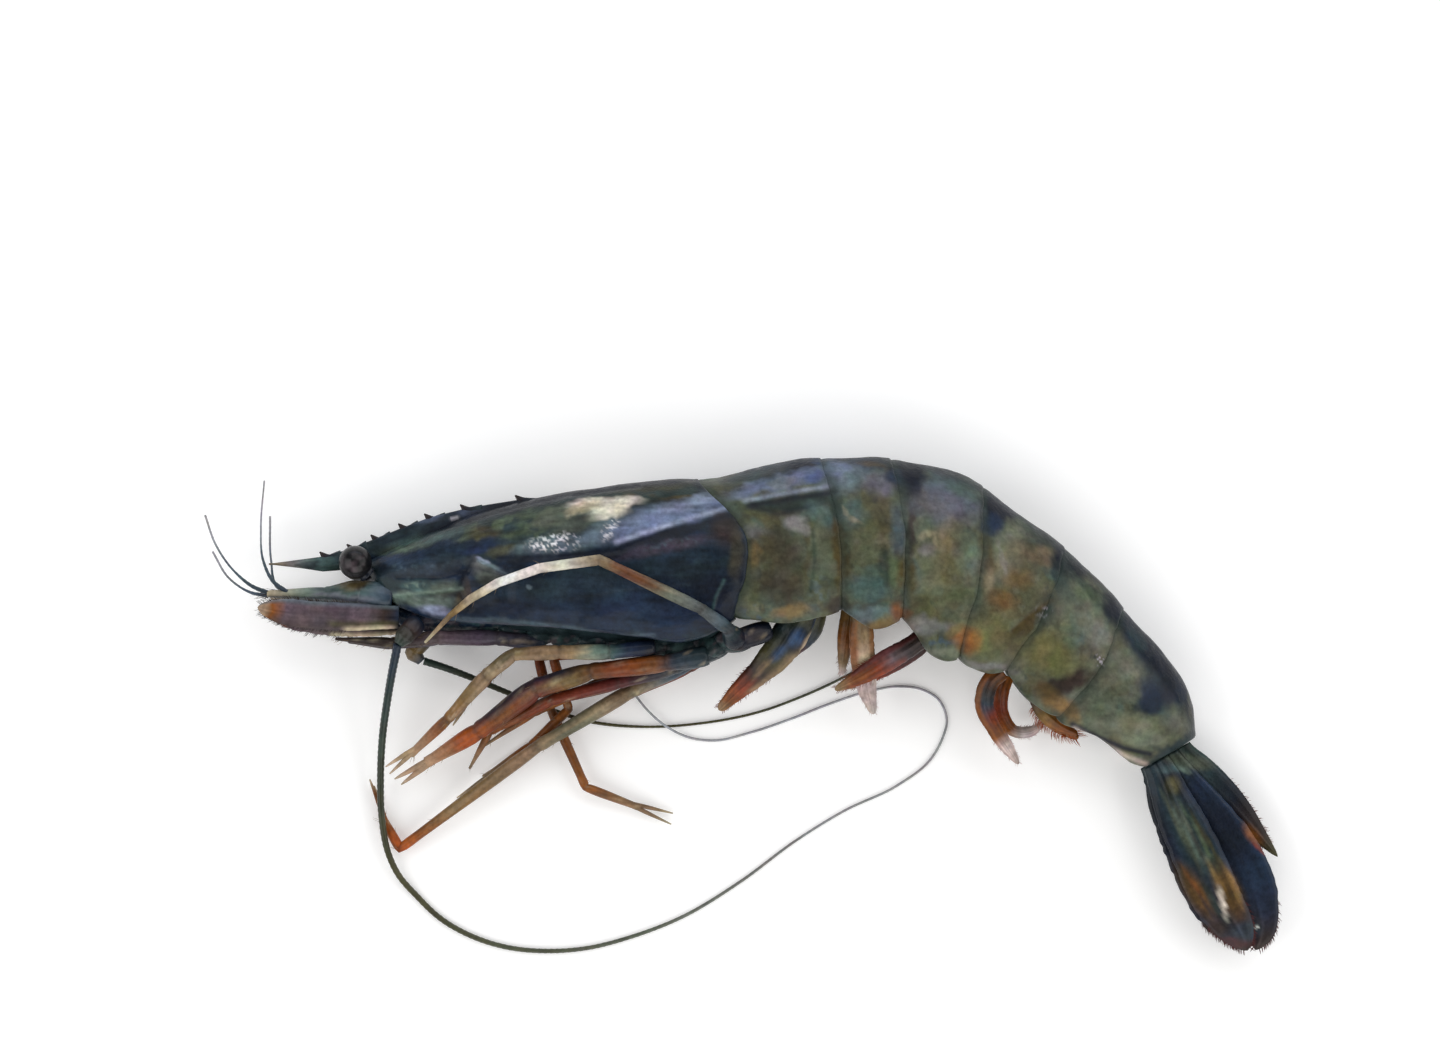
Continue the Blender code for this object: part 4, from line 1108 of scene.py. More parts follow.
@dataclass(frozen=True)
class Head:
    """The beak with its teeth, and the underside of the chest between the legs."""

    top: tuple = (
        (-30.0, 37.4), (-40.5, 36.9), (-45.6, 36.1), (-50.0, 35.3), (-56.2, 33.8), (-61.5, 31.8),
        (-66.7, 29.7), (-71.0, 28.0), (-75.0, 26.8), (-85.4, 25.4),
    )
    under: tuple = (
        (-85.4, 25.3), (-79.5, 24.6), (-75.5, 24.0), (-70.0, 24.4), (-64.0, 25.2), (-50.0, 29.0),
        (-30.0, 34.0),
    )
    teeth: tuple = (-40.4, -50.3, -56.8, -61.5, -66.5, -70.8, -75.7)
    thickness: float = 1.7
    tooth_height: float = 1.0
    tooth_length: float = 3.6
    leg_bases: tuple = (
        (-46.0, 14.0, 11.4, 1.3), (-41.0, 13.6, 12.0, 1.5), (-36.0, 12.3, 13.0, 1.5), (-31.5, 12.0, 13.2, 1.7),
        (-26.6, 11.4, 13.4, 1.7), (-21.4, 10.9, 13.8, 1.8), (-16.2, 10.4, 13.8, 1.9), (-11.0, 10.2, 13.6, 2.0),
        (-6.2, 10.6, 13.2, 2.1), (-1.6, 11.6, 13.4, 2.1),
    )
    chest: tuple = ((-46.0, 20.0), (-40.0, 17.9), (-30.0, 16.2), (-18.0, 14.6), (-9.0, 15.0), (-3.2, 17.5))
    chest_depth: float = 4.7
    chest_middle: float = 11.2
    chest_half: float = 6.0
    jaws: tuple = (
        (-64.6, 17.7, 9.4, 1.2, 1.4), (-60.0, 16.1, 9.4, 2.3, 2.8), (-54.0, 15.5, 9.7, 2.3, 3.0),
        (-46.0, 16.0, 10.6, 2.5, 3.6), (-40.5, 16.6, 11.0, 2.6, 3.8),
    )

    @staticmethod
    def middle(x: Array) -> Array:
        """Height of the beak's blade above the floor."""
        return np.interp(x, (-67.0, -50.0, -30.0), (9.0, 10.7, 11.5))

    def beak(self) -> bpy.types.Object:
        """The thin upright blade, which is darkest at its root."""
        top, under = np.array(sorted(self.top)), np.array(sorted(self.under))
        tip, root = top[0, 0], top[-1, 0]
        rows, sides = 160, 28
        x = np.linspace(tip + 0.15, root, rows)
        share = (x - tip) / (root - tip)
        high, low = np.interp(x, top[:, 0], top[:, 1]), np.interp(x, under[:, 0], under[:, 1])
        half = self.thickness / 2 * np.minimum(1.0, 0.3 + 3 * share)
        depth = np.maximum((high - low) / 2, 0.18)
        turn = math.tau * np.arange(sides) / sides
        ridge = 1 + 0.25 * np.exp(-((np.cos(turn) + 0.2) / 0.2) ** 2)
        rings = np.stack([
            np.broadcast_to(x[:, None], (rows, sides)),
            ((high + low) / 2)[:, None] + depth[:, None] * np.cos(turn),
            self.middle(x)[:, None] + half[:, None] * np.sin(turn) * ridge,
        ], -1)
        skin = Skin()
        flat = rings.reshape(-1, 3)
        base = along_stops(np.repeat(share, sides), (
            (0.0, Hue.TAN), (0.08, Hue.BLUSH_GREY), (0.16, Hue.TEAL), (0.3, Hue.DEEP_GREEN), (0.4, Hue.NAVY),
            (0.55, Hue.STEEL), (0.8, Hue.SLATE), (1.0, Hue.SLATE),
        ))
        skin.add(rings, HEAD_PAINT.colour(flat, base).reshape(rings.shape))
        for place in self.teeth:
            self.add_tooth(skin, place, top)
        return skin.piece("beak", HEAD_FINISH, "carapace")

    def add_tooth(self, skin: Skin, x: float, top: Array) -> None:
        """Adds one forward-pointing tooth of the beak.

        Args:
            skin: What it is added to.
            x: Where its tip is.
            top: The crest line.
        """
        here, behind = np.interp((x, x + self.tooth_length), top[:, 0], top[:, 1])
        middle = float(self.middle(x))
        corners = (
            (x + self.tooth_length, behind - 1.3 * self.tooth_height, middle),
            (x + 0.4 * self.tooth_length, here - 0.6 * self.tooth_height, middle),
            (x - 0.4 * self.tooth_height, here + 0.85 * self.tooth_height, middle),
        )
        rows, sides = 12, 12
        path = SmoothTable.through(corners).evenly(rows)
        shares = np.linspace(0, 1, rows)
        widths = np.interp(shares, (0, 0.5, 1), (1.5, 1.15, 0.12))
        rings = tube(path, widths, 0.5 * widths + 0.03, sides)
        base = along_stops(np.repeat(shares, sides), ((0.0, Hue.DARK_TEAL), (0.6, Hue.INK), (1.0, Hue.UMBER)))
        skin.add(rings, base.reshape(rings.shape))

    def underside(self) -> bpy.types.Object:
        """The chest with the base of the jaws, and a lump where each leg leaves it."""
        skin = Skin()
        self.add_keel(skin)
        mottles = each(Mottle, (Hue.TEAL, 1.4, 0.4, 0.6, 131), (Hue.MAUVE, 1.1, 0.3, 0.5, 135))
        paint = Paint(mottles=mottles, uneven=0.3)
        jaws = np.array(self.jaws)
        rows, sides = 60, 28
        table = SmoothTable.through(jaws[:, :3], jaws).evenly(rows)
        rings = tube(table[:, :3], table[:, 3], table[:, 4], sides)
        flat = rings.reshape(-1, 3)
        rings = rings + (grid_normals(rings) * 0.2 * noise(flat, 1.2, 3).reshape(rows, sides, 1))
        base = np.tile(Hue.SHADOW_BLUE.light, (len(flat), 1))
        skin.add(rings, paint.colour(flat, base).reshape(rings.shape))
        for x, y, z, size in self.leg_bases:
            ball = tube(*self.ball(np.array((x, y, z)), size), 24)
            rough = 0.22 * noise(ball.reshape(-1, 3), 0.9, 5).reshape(*ball.shape[:2], 1)
            ball = ball + grid_normals(ball) * rough
            spots = ball.reshape(-1, 3)
            base = np.tile(Hue.DARK_TEAL.light, (len(spots), 1))
            skin.add(ball, paint.colour(spots, base).reshape(ball.shape))
        return skin.piece("chest", HEAD_FINISH, "carapace")

    def add_keel(self, skin: Skin) -> None:
        """Adds the blunt keel of the chest, ribbed where the legs join.

        Args:
            skin: What it is added to.
        """
        rows, sides = 60, 32
        line = SmoothTable.through(self.chest).evenly(rows)
        turn = math.tau * np.arange(sides) / sides
        rib = 1 + 0.04 * np.sin(np.arange(rows) * 1.05)
        rings = np.stack([
            np.broadcast_to(line[:, :1], (rows, sides)),
            line[:, 1:] + self.chest_depth * rib[:, None] * np.sin(turn),
            self.chest_middle + self.chest_half * rib[:, None] * np.cos(turn),
        ], -1)
        base = np.tile(Hue.DARK_TEAL.light, (rows * sides, 1))
        skin.add(rings, Paint(uneven=0.3).colour(rings.reshape(-1, 3), base).reshape(rings.shape))

    @staticmethod
    def ball(middle: Array, size: float) -> tuple:
        """A rounded lump's path along the body, with its half widths and half heights.

        Args:
            middle: Where it is.
            size: Its radius in millimetres.

        Returns:
            The path, the half widths and the half heights.
        """
        turn = np.linspace(0, math.pi, 24)
        path = middle - np.cos(turn)[:, None] * (1.9 * size, 0.0, 0.0)
        sizes = np.maximum(size * np.sin(turn), CLOSED)
        return path, sizes, sizes


# Between the two eyes
MIDDLE_HEIGHT = 9.0


@dataclass(frozen=True)
class Eye:
    """A round black eye on its short stalk."""

    name: str
    centre: tuple
    root: tuple
    radius: float = 3.0

    def make(self) -> bpy.types.Object:
        """Shapes and colours the eye."""
        centre, root = np.array(self.centre), np.array(self.root)
        axis = (centre - root) / np.linalg.norm(centre - root)
        turn = np.linspace(0, math.pi, 40)
        reach = -self.radius * np.cos(turn)
        path = centre + axis * reach[:, None]
        sizes = np.maximum(self.radius * np.sin(turn), CLOSED)
        rings = tube(path, sizes, sizes, 40)
        lift = (rings[..., 2] - centre[2]) / self.radius * (1 if centre[2] > MIDDLE_HEIGHT else -1)
        base = np.tile(Hue.BLACK.light, (lift.size, 1))
        flat = rings.reshape(-1, 3)
        # painted sheen: blotchy mauve-grey on the side of each eye that faces away from the other, in place of
        # its soft highlights
        painted_sheen = 0.14 + 0.4 * noise(flat, 1.0, 5) + 0.2 * noise(flat, 0.5, 9)
        painted_sheen = smoothstep(0.2, 1.0, lift.reshape(-1)) * painted_sheen
        base += (Hue.MAUVE.light - base) * np.clip(painted_sheen, 0, 1)[:, None]
        skin = Skin()
        skin.add(rings, base.reshape(rings.shape))
        shares = np.linspace(0, 1, 12)
        stalk = root + (centre - root) * shares[:, None]
        widths = np.interp(shares, (0, 0.4, 1), (1.6, 1.2, 1.9))
        rings = tube(stalk, widths, widths, 20)
        skin.add(rings, np.broadcast_to(Hue.INK.light, rings.shape))
        return skin.piece("seen_" + self.name, EYE_FINISH, self.name)


# Limbs

@dataclass(frozen=True)
class Band:
    """A stretch of one side of a limb in another colour: from and to along it, and from and to across it."""

    start: float
    end: float
    low: float
    high: float
    hue: Hue
    strength: float = 0.8

    def cover(self, share: Array, aside: Array) -> Array:
        """How much of the band's colour each point takes.

        Args:
            share: How far along the limb each point is.
            aside: Which side of it, from -1 to 1.

        Returns:
            Shares from 0 to 1.
        """
        reach = smoothstep(self.start - 0.04, self.start + 0.04, share)
        reach = reach * (1 - smoothstep(self.end - 0.04, self.end + 0.04, share))
        reach = reach * smoothstep(self.low - 0.2, self.low + 0.2, aside)
        return reach * (1 - smoothstep(self.high - 0.2, self.high + 0.2, aside)) * self.strength


def tinted(rings: Array, stops: tuple, bands: tuple, paint: Paint) -> Array:
    """Colours a tube along its length and across it.

    Args:
        rings: The tube's rows of points.
        stops: Pairs of a share of the length and a hue.
        bands: Bands of other colours.
        paint: Patches and tone.

    Returns:
        One colour a point, in the same rows.
    """
    rows, sides = rings.shape[:2]
    middle = rings.mean(1)
    steps = np.r_[0, np.cumsum(np.linalg.norm(np.diff(middle, axis=0), axis=1))]
    share = np.repeat(steps / steps[-1], sides)
    aside = np.tile(np.cos(math.tau * np.arange(sides) / sides), rows)
    flat = rings.reshape(-1, 3)
    share = share + 0.02 * noise(flat, 1.4, 3)
    tint = along_stops(share, stops)
    for band in bands:
        tint += (band.hue.light - tint) * band.cover(share, aside)[:, None]
    return paint.colour(flat, tint).reshape(rings.shape)


LEG_PAINT = Paint(
    mottles=(Mottle(Hue.UMBER, 1.6, 0.05, 0.4, 401, 3.0), Mottle(Hue.SAND, 1.0, -0.05, 0.35, 411, 3.0)),
    uneven=0.28, streaks=0.14,
)

# Along one length of a limb: the share of the length, and of the thickness
LENGTH_SHAPE = np.array((
    (0.0, 0.82), (0.06, 0.9), (0.14, 0.97), (0.3, 1.0), (0.45, 0.98), (0.6, 0.94), (0.75, 0.89), (0.86, 0.87),
    (0.93, 0.93), (0.97, 0.9),
))


# The share of the thickness of lengths that merge without a knee
PLAIN_LENGTH = 0.93
LIMB_SIDES, STEM_SIDES, FINGER_SIDES, WHIP_SIDES = 16, 20, 10, 8
FINGER_ROWS = 14
# The lowest that a hair's tip comes
HAIR_FLOOR = 0.05


def jointed(joints: Array, radii: Array, swell: Callable) -> tuple:
    """The path and the radii of a limb that is thick in the middle of each of its lengths.

    Args:
        joints: Places of the joints.
        radii: The limb's radius at each joint.
        swell: The share of the radius, from the number of the length and LENGTH_SHAPE's share.

    Returns:
        A list of places and one of radii, without the last joint.
    """
    path, sizes = [], []
    for i in range(len(joints) - 1):
        for share, full in LENGTH_SHAPE:
            path.append(joints[i] + (joints[i + 1] - joints[i]) * share)
            sizes.append(swell(i, full) * (radii[i] + (radii[i + 1] - radii[i]) * share))
    return path, sizes


@dataclass(frozen=True)
class Limb:
    """A jointed leg or mouth limb, which may end in a pincer."""

    name: str
    joints: tuple
    radii: tuple
    stops: tuple
    fingers: tuple = ()
    bands: tuple = ()
    bristles: int = 0
    knees: int = 9

    def make(self) -> bpy.types.Object:
        """Shapes, colours and dresses the limb."""
        joints, radii = np.array(self.joints), np.array(self.radii)
        path, sizes = jointed(joints, radii, lambda i, full: full if i < self.knees else PLAIN_LENGTH)
        path += [joints[-1] - (joints[-1] - joints[-2]) * 0.02, joints[-1]]
        sizes += [radii[-1], radii[-1] * 0.5]
        path = np.array(path)
        rings = tube(path, sizes, sizes, LIMB_SIDES)
        tint = tinted(rings, self.stops, self.bands, LEG_PAINT)
        for joint in joints[1:-1][:self.knees]:
            near = np.exp(-((np.linalg.norm(rings.mean(1) - joint, axis=1) / 0.45) ** 2)) * 0.45
            tint += (Hue.UMBER.light - tint) * near[:, None, None]
        skin = Skin()
        skin.add(rings, tint)
        for tip in self.fingers:
            self.add_finger(skin, np.array(tip))
        self.add_bristles(skin, path, np.array(sizes))
        return skin.piece("seen_" + self.name, LEG_FINISH, self.name)

    def add_finger(self, skin: Skin, tip: Array) -> None:
        """Adds one slightly hooked finger of the pincer, as far as its tip.

        Args:
            skin: What it is added to.
            tip: Where it ends.
        """
        end, before = np.array(self.joints[-1]), np.array(self.joints[-2])
        root = end + (before - end) * 0.25
        thick = self.radii[-1] * 0.62
        shares = np.linspace(0, 1, FINGER_ROWS)
        outward = (root + tip) / 2 - end
        hook = (outward - 0.5 * (tip - root)) * 0.12
        path = root + (tip - root) * shares[:, None] + hook * bulge(shares)
        sizes = np.interp(shares, (0, 0.5, 0.9, 1), (thick, thick * 0.9, thick * 0.45, 0.12))
        rings = tube(path, sizes, sizes, FINGER_SIDES)
        last = self.stops[-1][1]
        skin.add(rings, tinted(rings, ((0.0, last), (0.7, last), (1.0, Hue.SAND)), (), Paint(uneven=0.2)))

    def add_bristles(self, skin: Skin, path: Array, sizes: Array) -> None:
        """Scatters short hairs over the outer half of the limb.

        Args:
            skin: What they are added to.
            path: Points along the limb.
            sizes: Its radii there.
        """
        chance = np.random.default_rng(len(self.name) + int(100 * self.radii[0]))
        for _ in range(self.bristles):
            k = chance.integers(len(path) // 2, len(path) - 1)
            ahead = path[k + 1] - path[k]
            ahead /= np.linalg.norm(ahead)
            way = chance.normal(size=3)
            way -= ahead * (way @ ahead)
            way /= np.linalg.norm(way)
            root = path[k] + way * sizes[k] * 0.9
            tip = root + (way + ahead * 1.2) * chance.uniform(0.5, 1.1)
            tip[2] = max(tip[2], HAIR_FLOOR)
            skin.hair(root, tip, ahead * -0.1, 0.05, Hue.TAN)


BROWN_LEG = ((0.0, Hue.DARK_TEAL), (0.2, Hue.BRICK), (0.5, Hue.RUST), (0.8, Hue.RUST), (1.0, Hue.TAN))
LIMBS = (
    Limb(
        "leg_1_left",
        ((-15.5, 10.6, 17.6), (-23.7, 9.6, 17.0), (-32.7, 9.6, 17.2), (-41.0, 9.2, 16.6), (-45.9, 5.3, 14.2),
         (-53.0, -2.6, 10.2), (-59.8, -9.1, 6.4)), (1.4, 1.5, 1.4, 1.3, 1.4, 1.1, 0.8),
        ((0.0, Hue.INK), (0.1, Hue.MIDNIGHT), (0.15, Hue.TEAL), (0.2, Hue.SAGE), (0.28, Hue.TAN),
         (0.42, Hue.TAN), (0.5, Hue.OLIVE), (0.62, Hue.TAN), (0.72, Hue.GOLD), (0.86, Hue.RUST),
         (1.0, Hue.PALE_TAN)), ((-64.3, -11.3, 6.2), (-63.6, -12.6, 5.6)),
        (Band(0.4, 0.8, -1.5, -0.3, Hue.PALE_TAN, 0.6),), 20
    ),
    Limb(
        "leg_2_left",
        ((-6.0, 9.0, 16.4), (-13.6, 7.6, 16.4), (-27.1, 6.1, 14.8), (-37.1, 3.0, 12.7), (-47.5, -4.8, 9.0),
         (-57.0, -10.6, 5.4)), (2.0, 1.7, 1.7, 2.1, 1.8, 1.1),
        ((0.0, Hue.DARK_TEAL), (0.1, Hue.SLATE), (0.17, Hue.RUST), (0.3, Hue.BRICK), (0.42, Hue.OCHRE),
         (0.55, Hue.BRICK), (0.7, Hue.RUST), (0.85, Hue.ORANGE), (1.0, Hue.PALE_TAN)),
        ((-62.8, -13.6, 3.6), (-61.6, -14.6, 3.4)),
        (Band(0.42, 0.78, 0.35, 1.5, Hue.NAVY, 0.85), Band(0.42, 0.6, -0.4, 0.3, Hue.TAN, 0.5),
         Band(0.5, 0.8, -1.5, -0.6, Hue.WINE, 0.5)), 30
    ),
    Limb(
        "leg_3_left",
        ((-3.2, 11.0, 8.2), (-9.6, 7.6, 8.7), (-19.9, 2.5, 8.5), (-36.8, -7.6, 6.6), (-61.9, -26.3, 1.7),
         (-65.2, -20.4, 1.1)), (2.2, 1.7, 1.5, 1.3, 0.95, 0.8),
        ((0.0, Hue.DARK_TEAL), (0.14, Hue.STEEL), (0.24, Hue.TAN), (0.42, Hue.GREY_OLIVE), (0.5, Hue.TAN),
         (0.72, Hue.GOLD), (0.86, Hue.RUST), (0.92, Hue.ORANGE), (1.0, Hue.RUST)),
        ((-67.4, -13.7, 1.2), (-66.6, -14.9, 1.0)), (Band(0.3, 0.8, -0.2, 0.4, Hue.PALE_TAN, 0.4),), 24
    ),
    Limb(
        "leg_4_left",
        ((-4.2, 10.3, 12.4), (-12.2, 6.8, 12.5), (-22.2, 4.0, 12.0), (-34.3, 0.9, 10.5), (-45.5, -5.0, 6.9),
         (-49.2, -11.7, 5.2)), (1.9, 1.5, 1.3, 1.2, 0.8, 0.25),
        ((0.0, Hue.DARK_TEAL), (0.2, Hue.SLATE), (0.35, Hue.WINE), (0.6, Hue.BRICK), (0.85, Hue.RUST),
         (1.0, Hue.TAN)), (), (), 16
    ),
    Limb(
        "leg_5_left",
        ((5.0, 13.6, 16.2), (-1.0, 11.7, 18.3), (-2.6, 14.0, 22.4), (-7.3, 17.5, 25.0), (-25.4, 26.2, 25.4),
         (-36.1, 24.7, 24.5), (-43.5, 22.1, 23.0), (-48.5, 19.2, 21.5), (-52.2, 16.2, 19.9),
         (-56.8, 11.3, 17.6)), (1.9, 2.3, 1.3, 1.15, 1.05, 0.95, 0.87, 0.8, 0.55, 0.25),
        ((0.0, Hue.INK), (0.1, Hue.INK), (0.14, Hue.DARK_TEAL), (0.18, Hue.STEEL), (0.22, Hue.GREY_GREEN),
         (0.35, Hue.PALE_OLIVE), (0.385, Hue.SIENNA), (0.46, Hue.SIENNA), (0.49, Hue.TAN), (0.53, Hue.SAND),
         (0.57, Hue.CREAM), (0.74, Hue.BONE), (0.82, Hue.SAND), (0.9, Hue.GOLD), (0.96, Hue.PALE_TAN),
         (1.0, Hue.SAND)), (), (Band(0.37, 0.47, -0.3, 0.5, Hue.RUST, 0.6),), 6, 4
    ),
    Limb(
        "leg_1_right", ((-25.5, 9.5, 9.4), (-40.8, 9.2, 9.4), (-45.3, 5.2, 9.0), (-50.3, -0.2, 8.2)),
        (1.1, 1.0, 1.0, 0.7), BROWN_LEG, ((-52.1, -3.8, 7.6), (-52.9, -3.0, 7.6)), (), 10
    ),
    Limb(
        "leg_2_right",
        ((-18.3, 9.7, 6.6), (-34.1, 8.7, 6.3), (-31.2, -0.9, 5.6), (-38.1, -7.5, 4.4), (-46.4, -13.3, 2.6)),
        (1.0, 0.95, 0.9, 0.85, 0.6), BROWN_LEG, ((-51.6, -17.1, 1.4), (-51.0, -18.2, 1.4)), (), 10
    ),
    Limb(
        "leg_3_right",
        ((-21.9, 9.9, 3.6), (-36.8, 8.6, 3.8), (-34.5, -1.0, 3.2), (-28.2, -15.1, 2.4), (-18.3, -18.9, 1.5)),
        (1.0, 0.95, 0.95, 0.9, 0.7), BROWN_LEG, ((-12.4, -19.9, 0.8), (-12.7, -21.9, 0.8)), (), 10
    ),
    Limb(
        "leg_4_right",
        ((-7.5, 9.5, 6.0), (-18.3, 6.9, 5.9), (-27.5, 3.2, 7.9), (-37.6, -1.6, 7.6), (-46.6, -7.6, 4.6)),
        (1.1, 1.1, 0.95, 0.8, 0.25), BROWN_LEG, (), (), 8
    ),
    Limb(
        "leg_5_right",
        ((-3.0, 11.0, 4.0), (-9.6, 6.6, 4.0), (-19.4, 2.0, 3.2), (-27.0, -1.5, 2.3), (-33.5, -4.8, 0.8),
         (-47.0, -13.2, 0.6)), (1.9, 1.2, 0.9, 0.7, 0.55, 0.25), BROWN_LEG, (), (), 8
    ),
    Limb(
        "mouth_limb_left",
        ((-35.4, 11.0, 13.2), (-44.0, 12.1, 13.2), (-54.8, 12.2, 13.0), (-63.1, 11.2, 12.0),
         (-73.2, 11.9, 10.6)), (1.4, 1.5, 1.4, 1.1, 0.3),
        ((0.0, Hue.SLATE), (0.3, Hue.PLUM), (0.5, Hue.MAUVE), (0.65, Hue.UMBER), (1.0, Hue.UMBER)), (), (), 40
    ),
    Limb(
        "mouth_limb_right",
        ((-35.4, 11.4, 6.2), (-46.0, 11.9, 6.6), (-54.8, 11.8, 8.5), (-63.1, 10.8, 9.1), (-71.0, 11.3, 8.2)),
        (1.2, 1.3, 1.2, 1.0, 0.3), ((0.0, Hue.SLATE), (0.5, Hue.PLUM), (1.0, Hue.UMBER)), (), (), 20
    ),
)


# Feelers

@dataclass(frozen=True)
class Whip:
    """The free, hair-thin part of a feeler."""

    route: tuple
    first: float
    last: float
    count: int
    stops: tuple

    def add(self, skin: Skin) -> None:
        """Adds the whip, ringed with fine joints, to a skin.

        Args:
            skin: What it is added to.
        """
        path = SmoothTable.through(self.route).evenly(self.count)
        shares = np.linspace(0, 1, self.count)
        radii = np.maximum(self.last, self.first * (1 - shares) ** 1.5)
        radii = radii * (1 + 0.06 * np.sin(np.arange(self.count) * 2.1))
        path[:, 2] = np.maximum(path[:, 2], radii + 0.02)
        rings = tube(path, radii, radii, WHIP_SIDES)
        skin.add(rings, tinted(rings, self.stops, (), Paint(uneven=0.25)))


@dataclass(frozen=True)
class Feeler:
    """A feeler: a jointed stem and its whips, with a tuft of hairs where they part."""

    name: str
    stem: tuple
    stem_radii: tuple
    stem_stops: tuple
    whips: tuple
    tuft: int = 0
    bands: tuple = ()
    patches: tuple = ()

    def make(self) -> bpy.types.Object:
        """Shapes, colours and dresses the feeler."""
        stem, radii = np.array(self.stem), np.array(self.stem_radii)
        path, sizes = jointed(stem, radii, lambda i, full: 0.3 + 0.7 * full)
        path.append(stem[-1])
        sizes.append(radii[-1] * 0.8)
        rings = tube(np.array(path), sizes, sizes, STEM_SIDES)
        skin = Skin()
        skin.add(rings, tinted(rings, self.stem_stops, self.bands, Paint(self.patches, uneven=0.25)))
        for whip in self.whips:
            whip.add(skin)
        chance = np.random.default_rng(7)
        ahead = (stem[-1] - stem[-2]) / np.linalg.norm(stem[-1] - stem[-2])
        for _ in range(self.tuft):
            root = stem[-1] - ahead * chance.uniform(0, 5) + chance.normal(size=3) * 0.3
            tip = root + ahead * chance.uniform(1.5, 3.6) + np.array((0, -1, 0)) * chance.uniform(-0.8, 1.4)
            skin.hair(root, tip, np.array((0, 0.2, 0)), 0.06, Hue.UMBER)
        return skin.piece("seen_" + self.name, FEELER_FINISH, self.name)


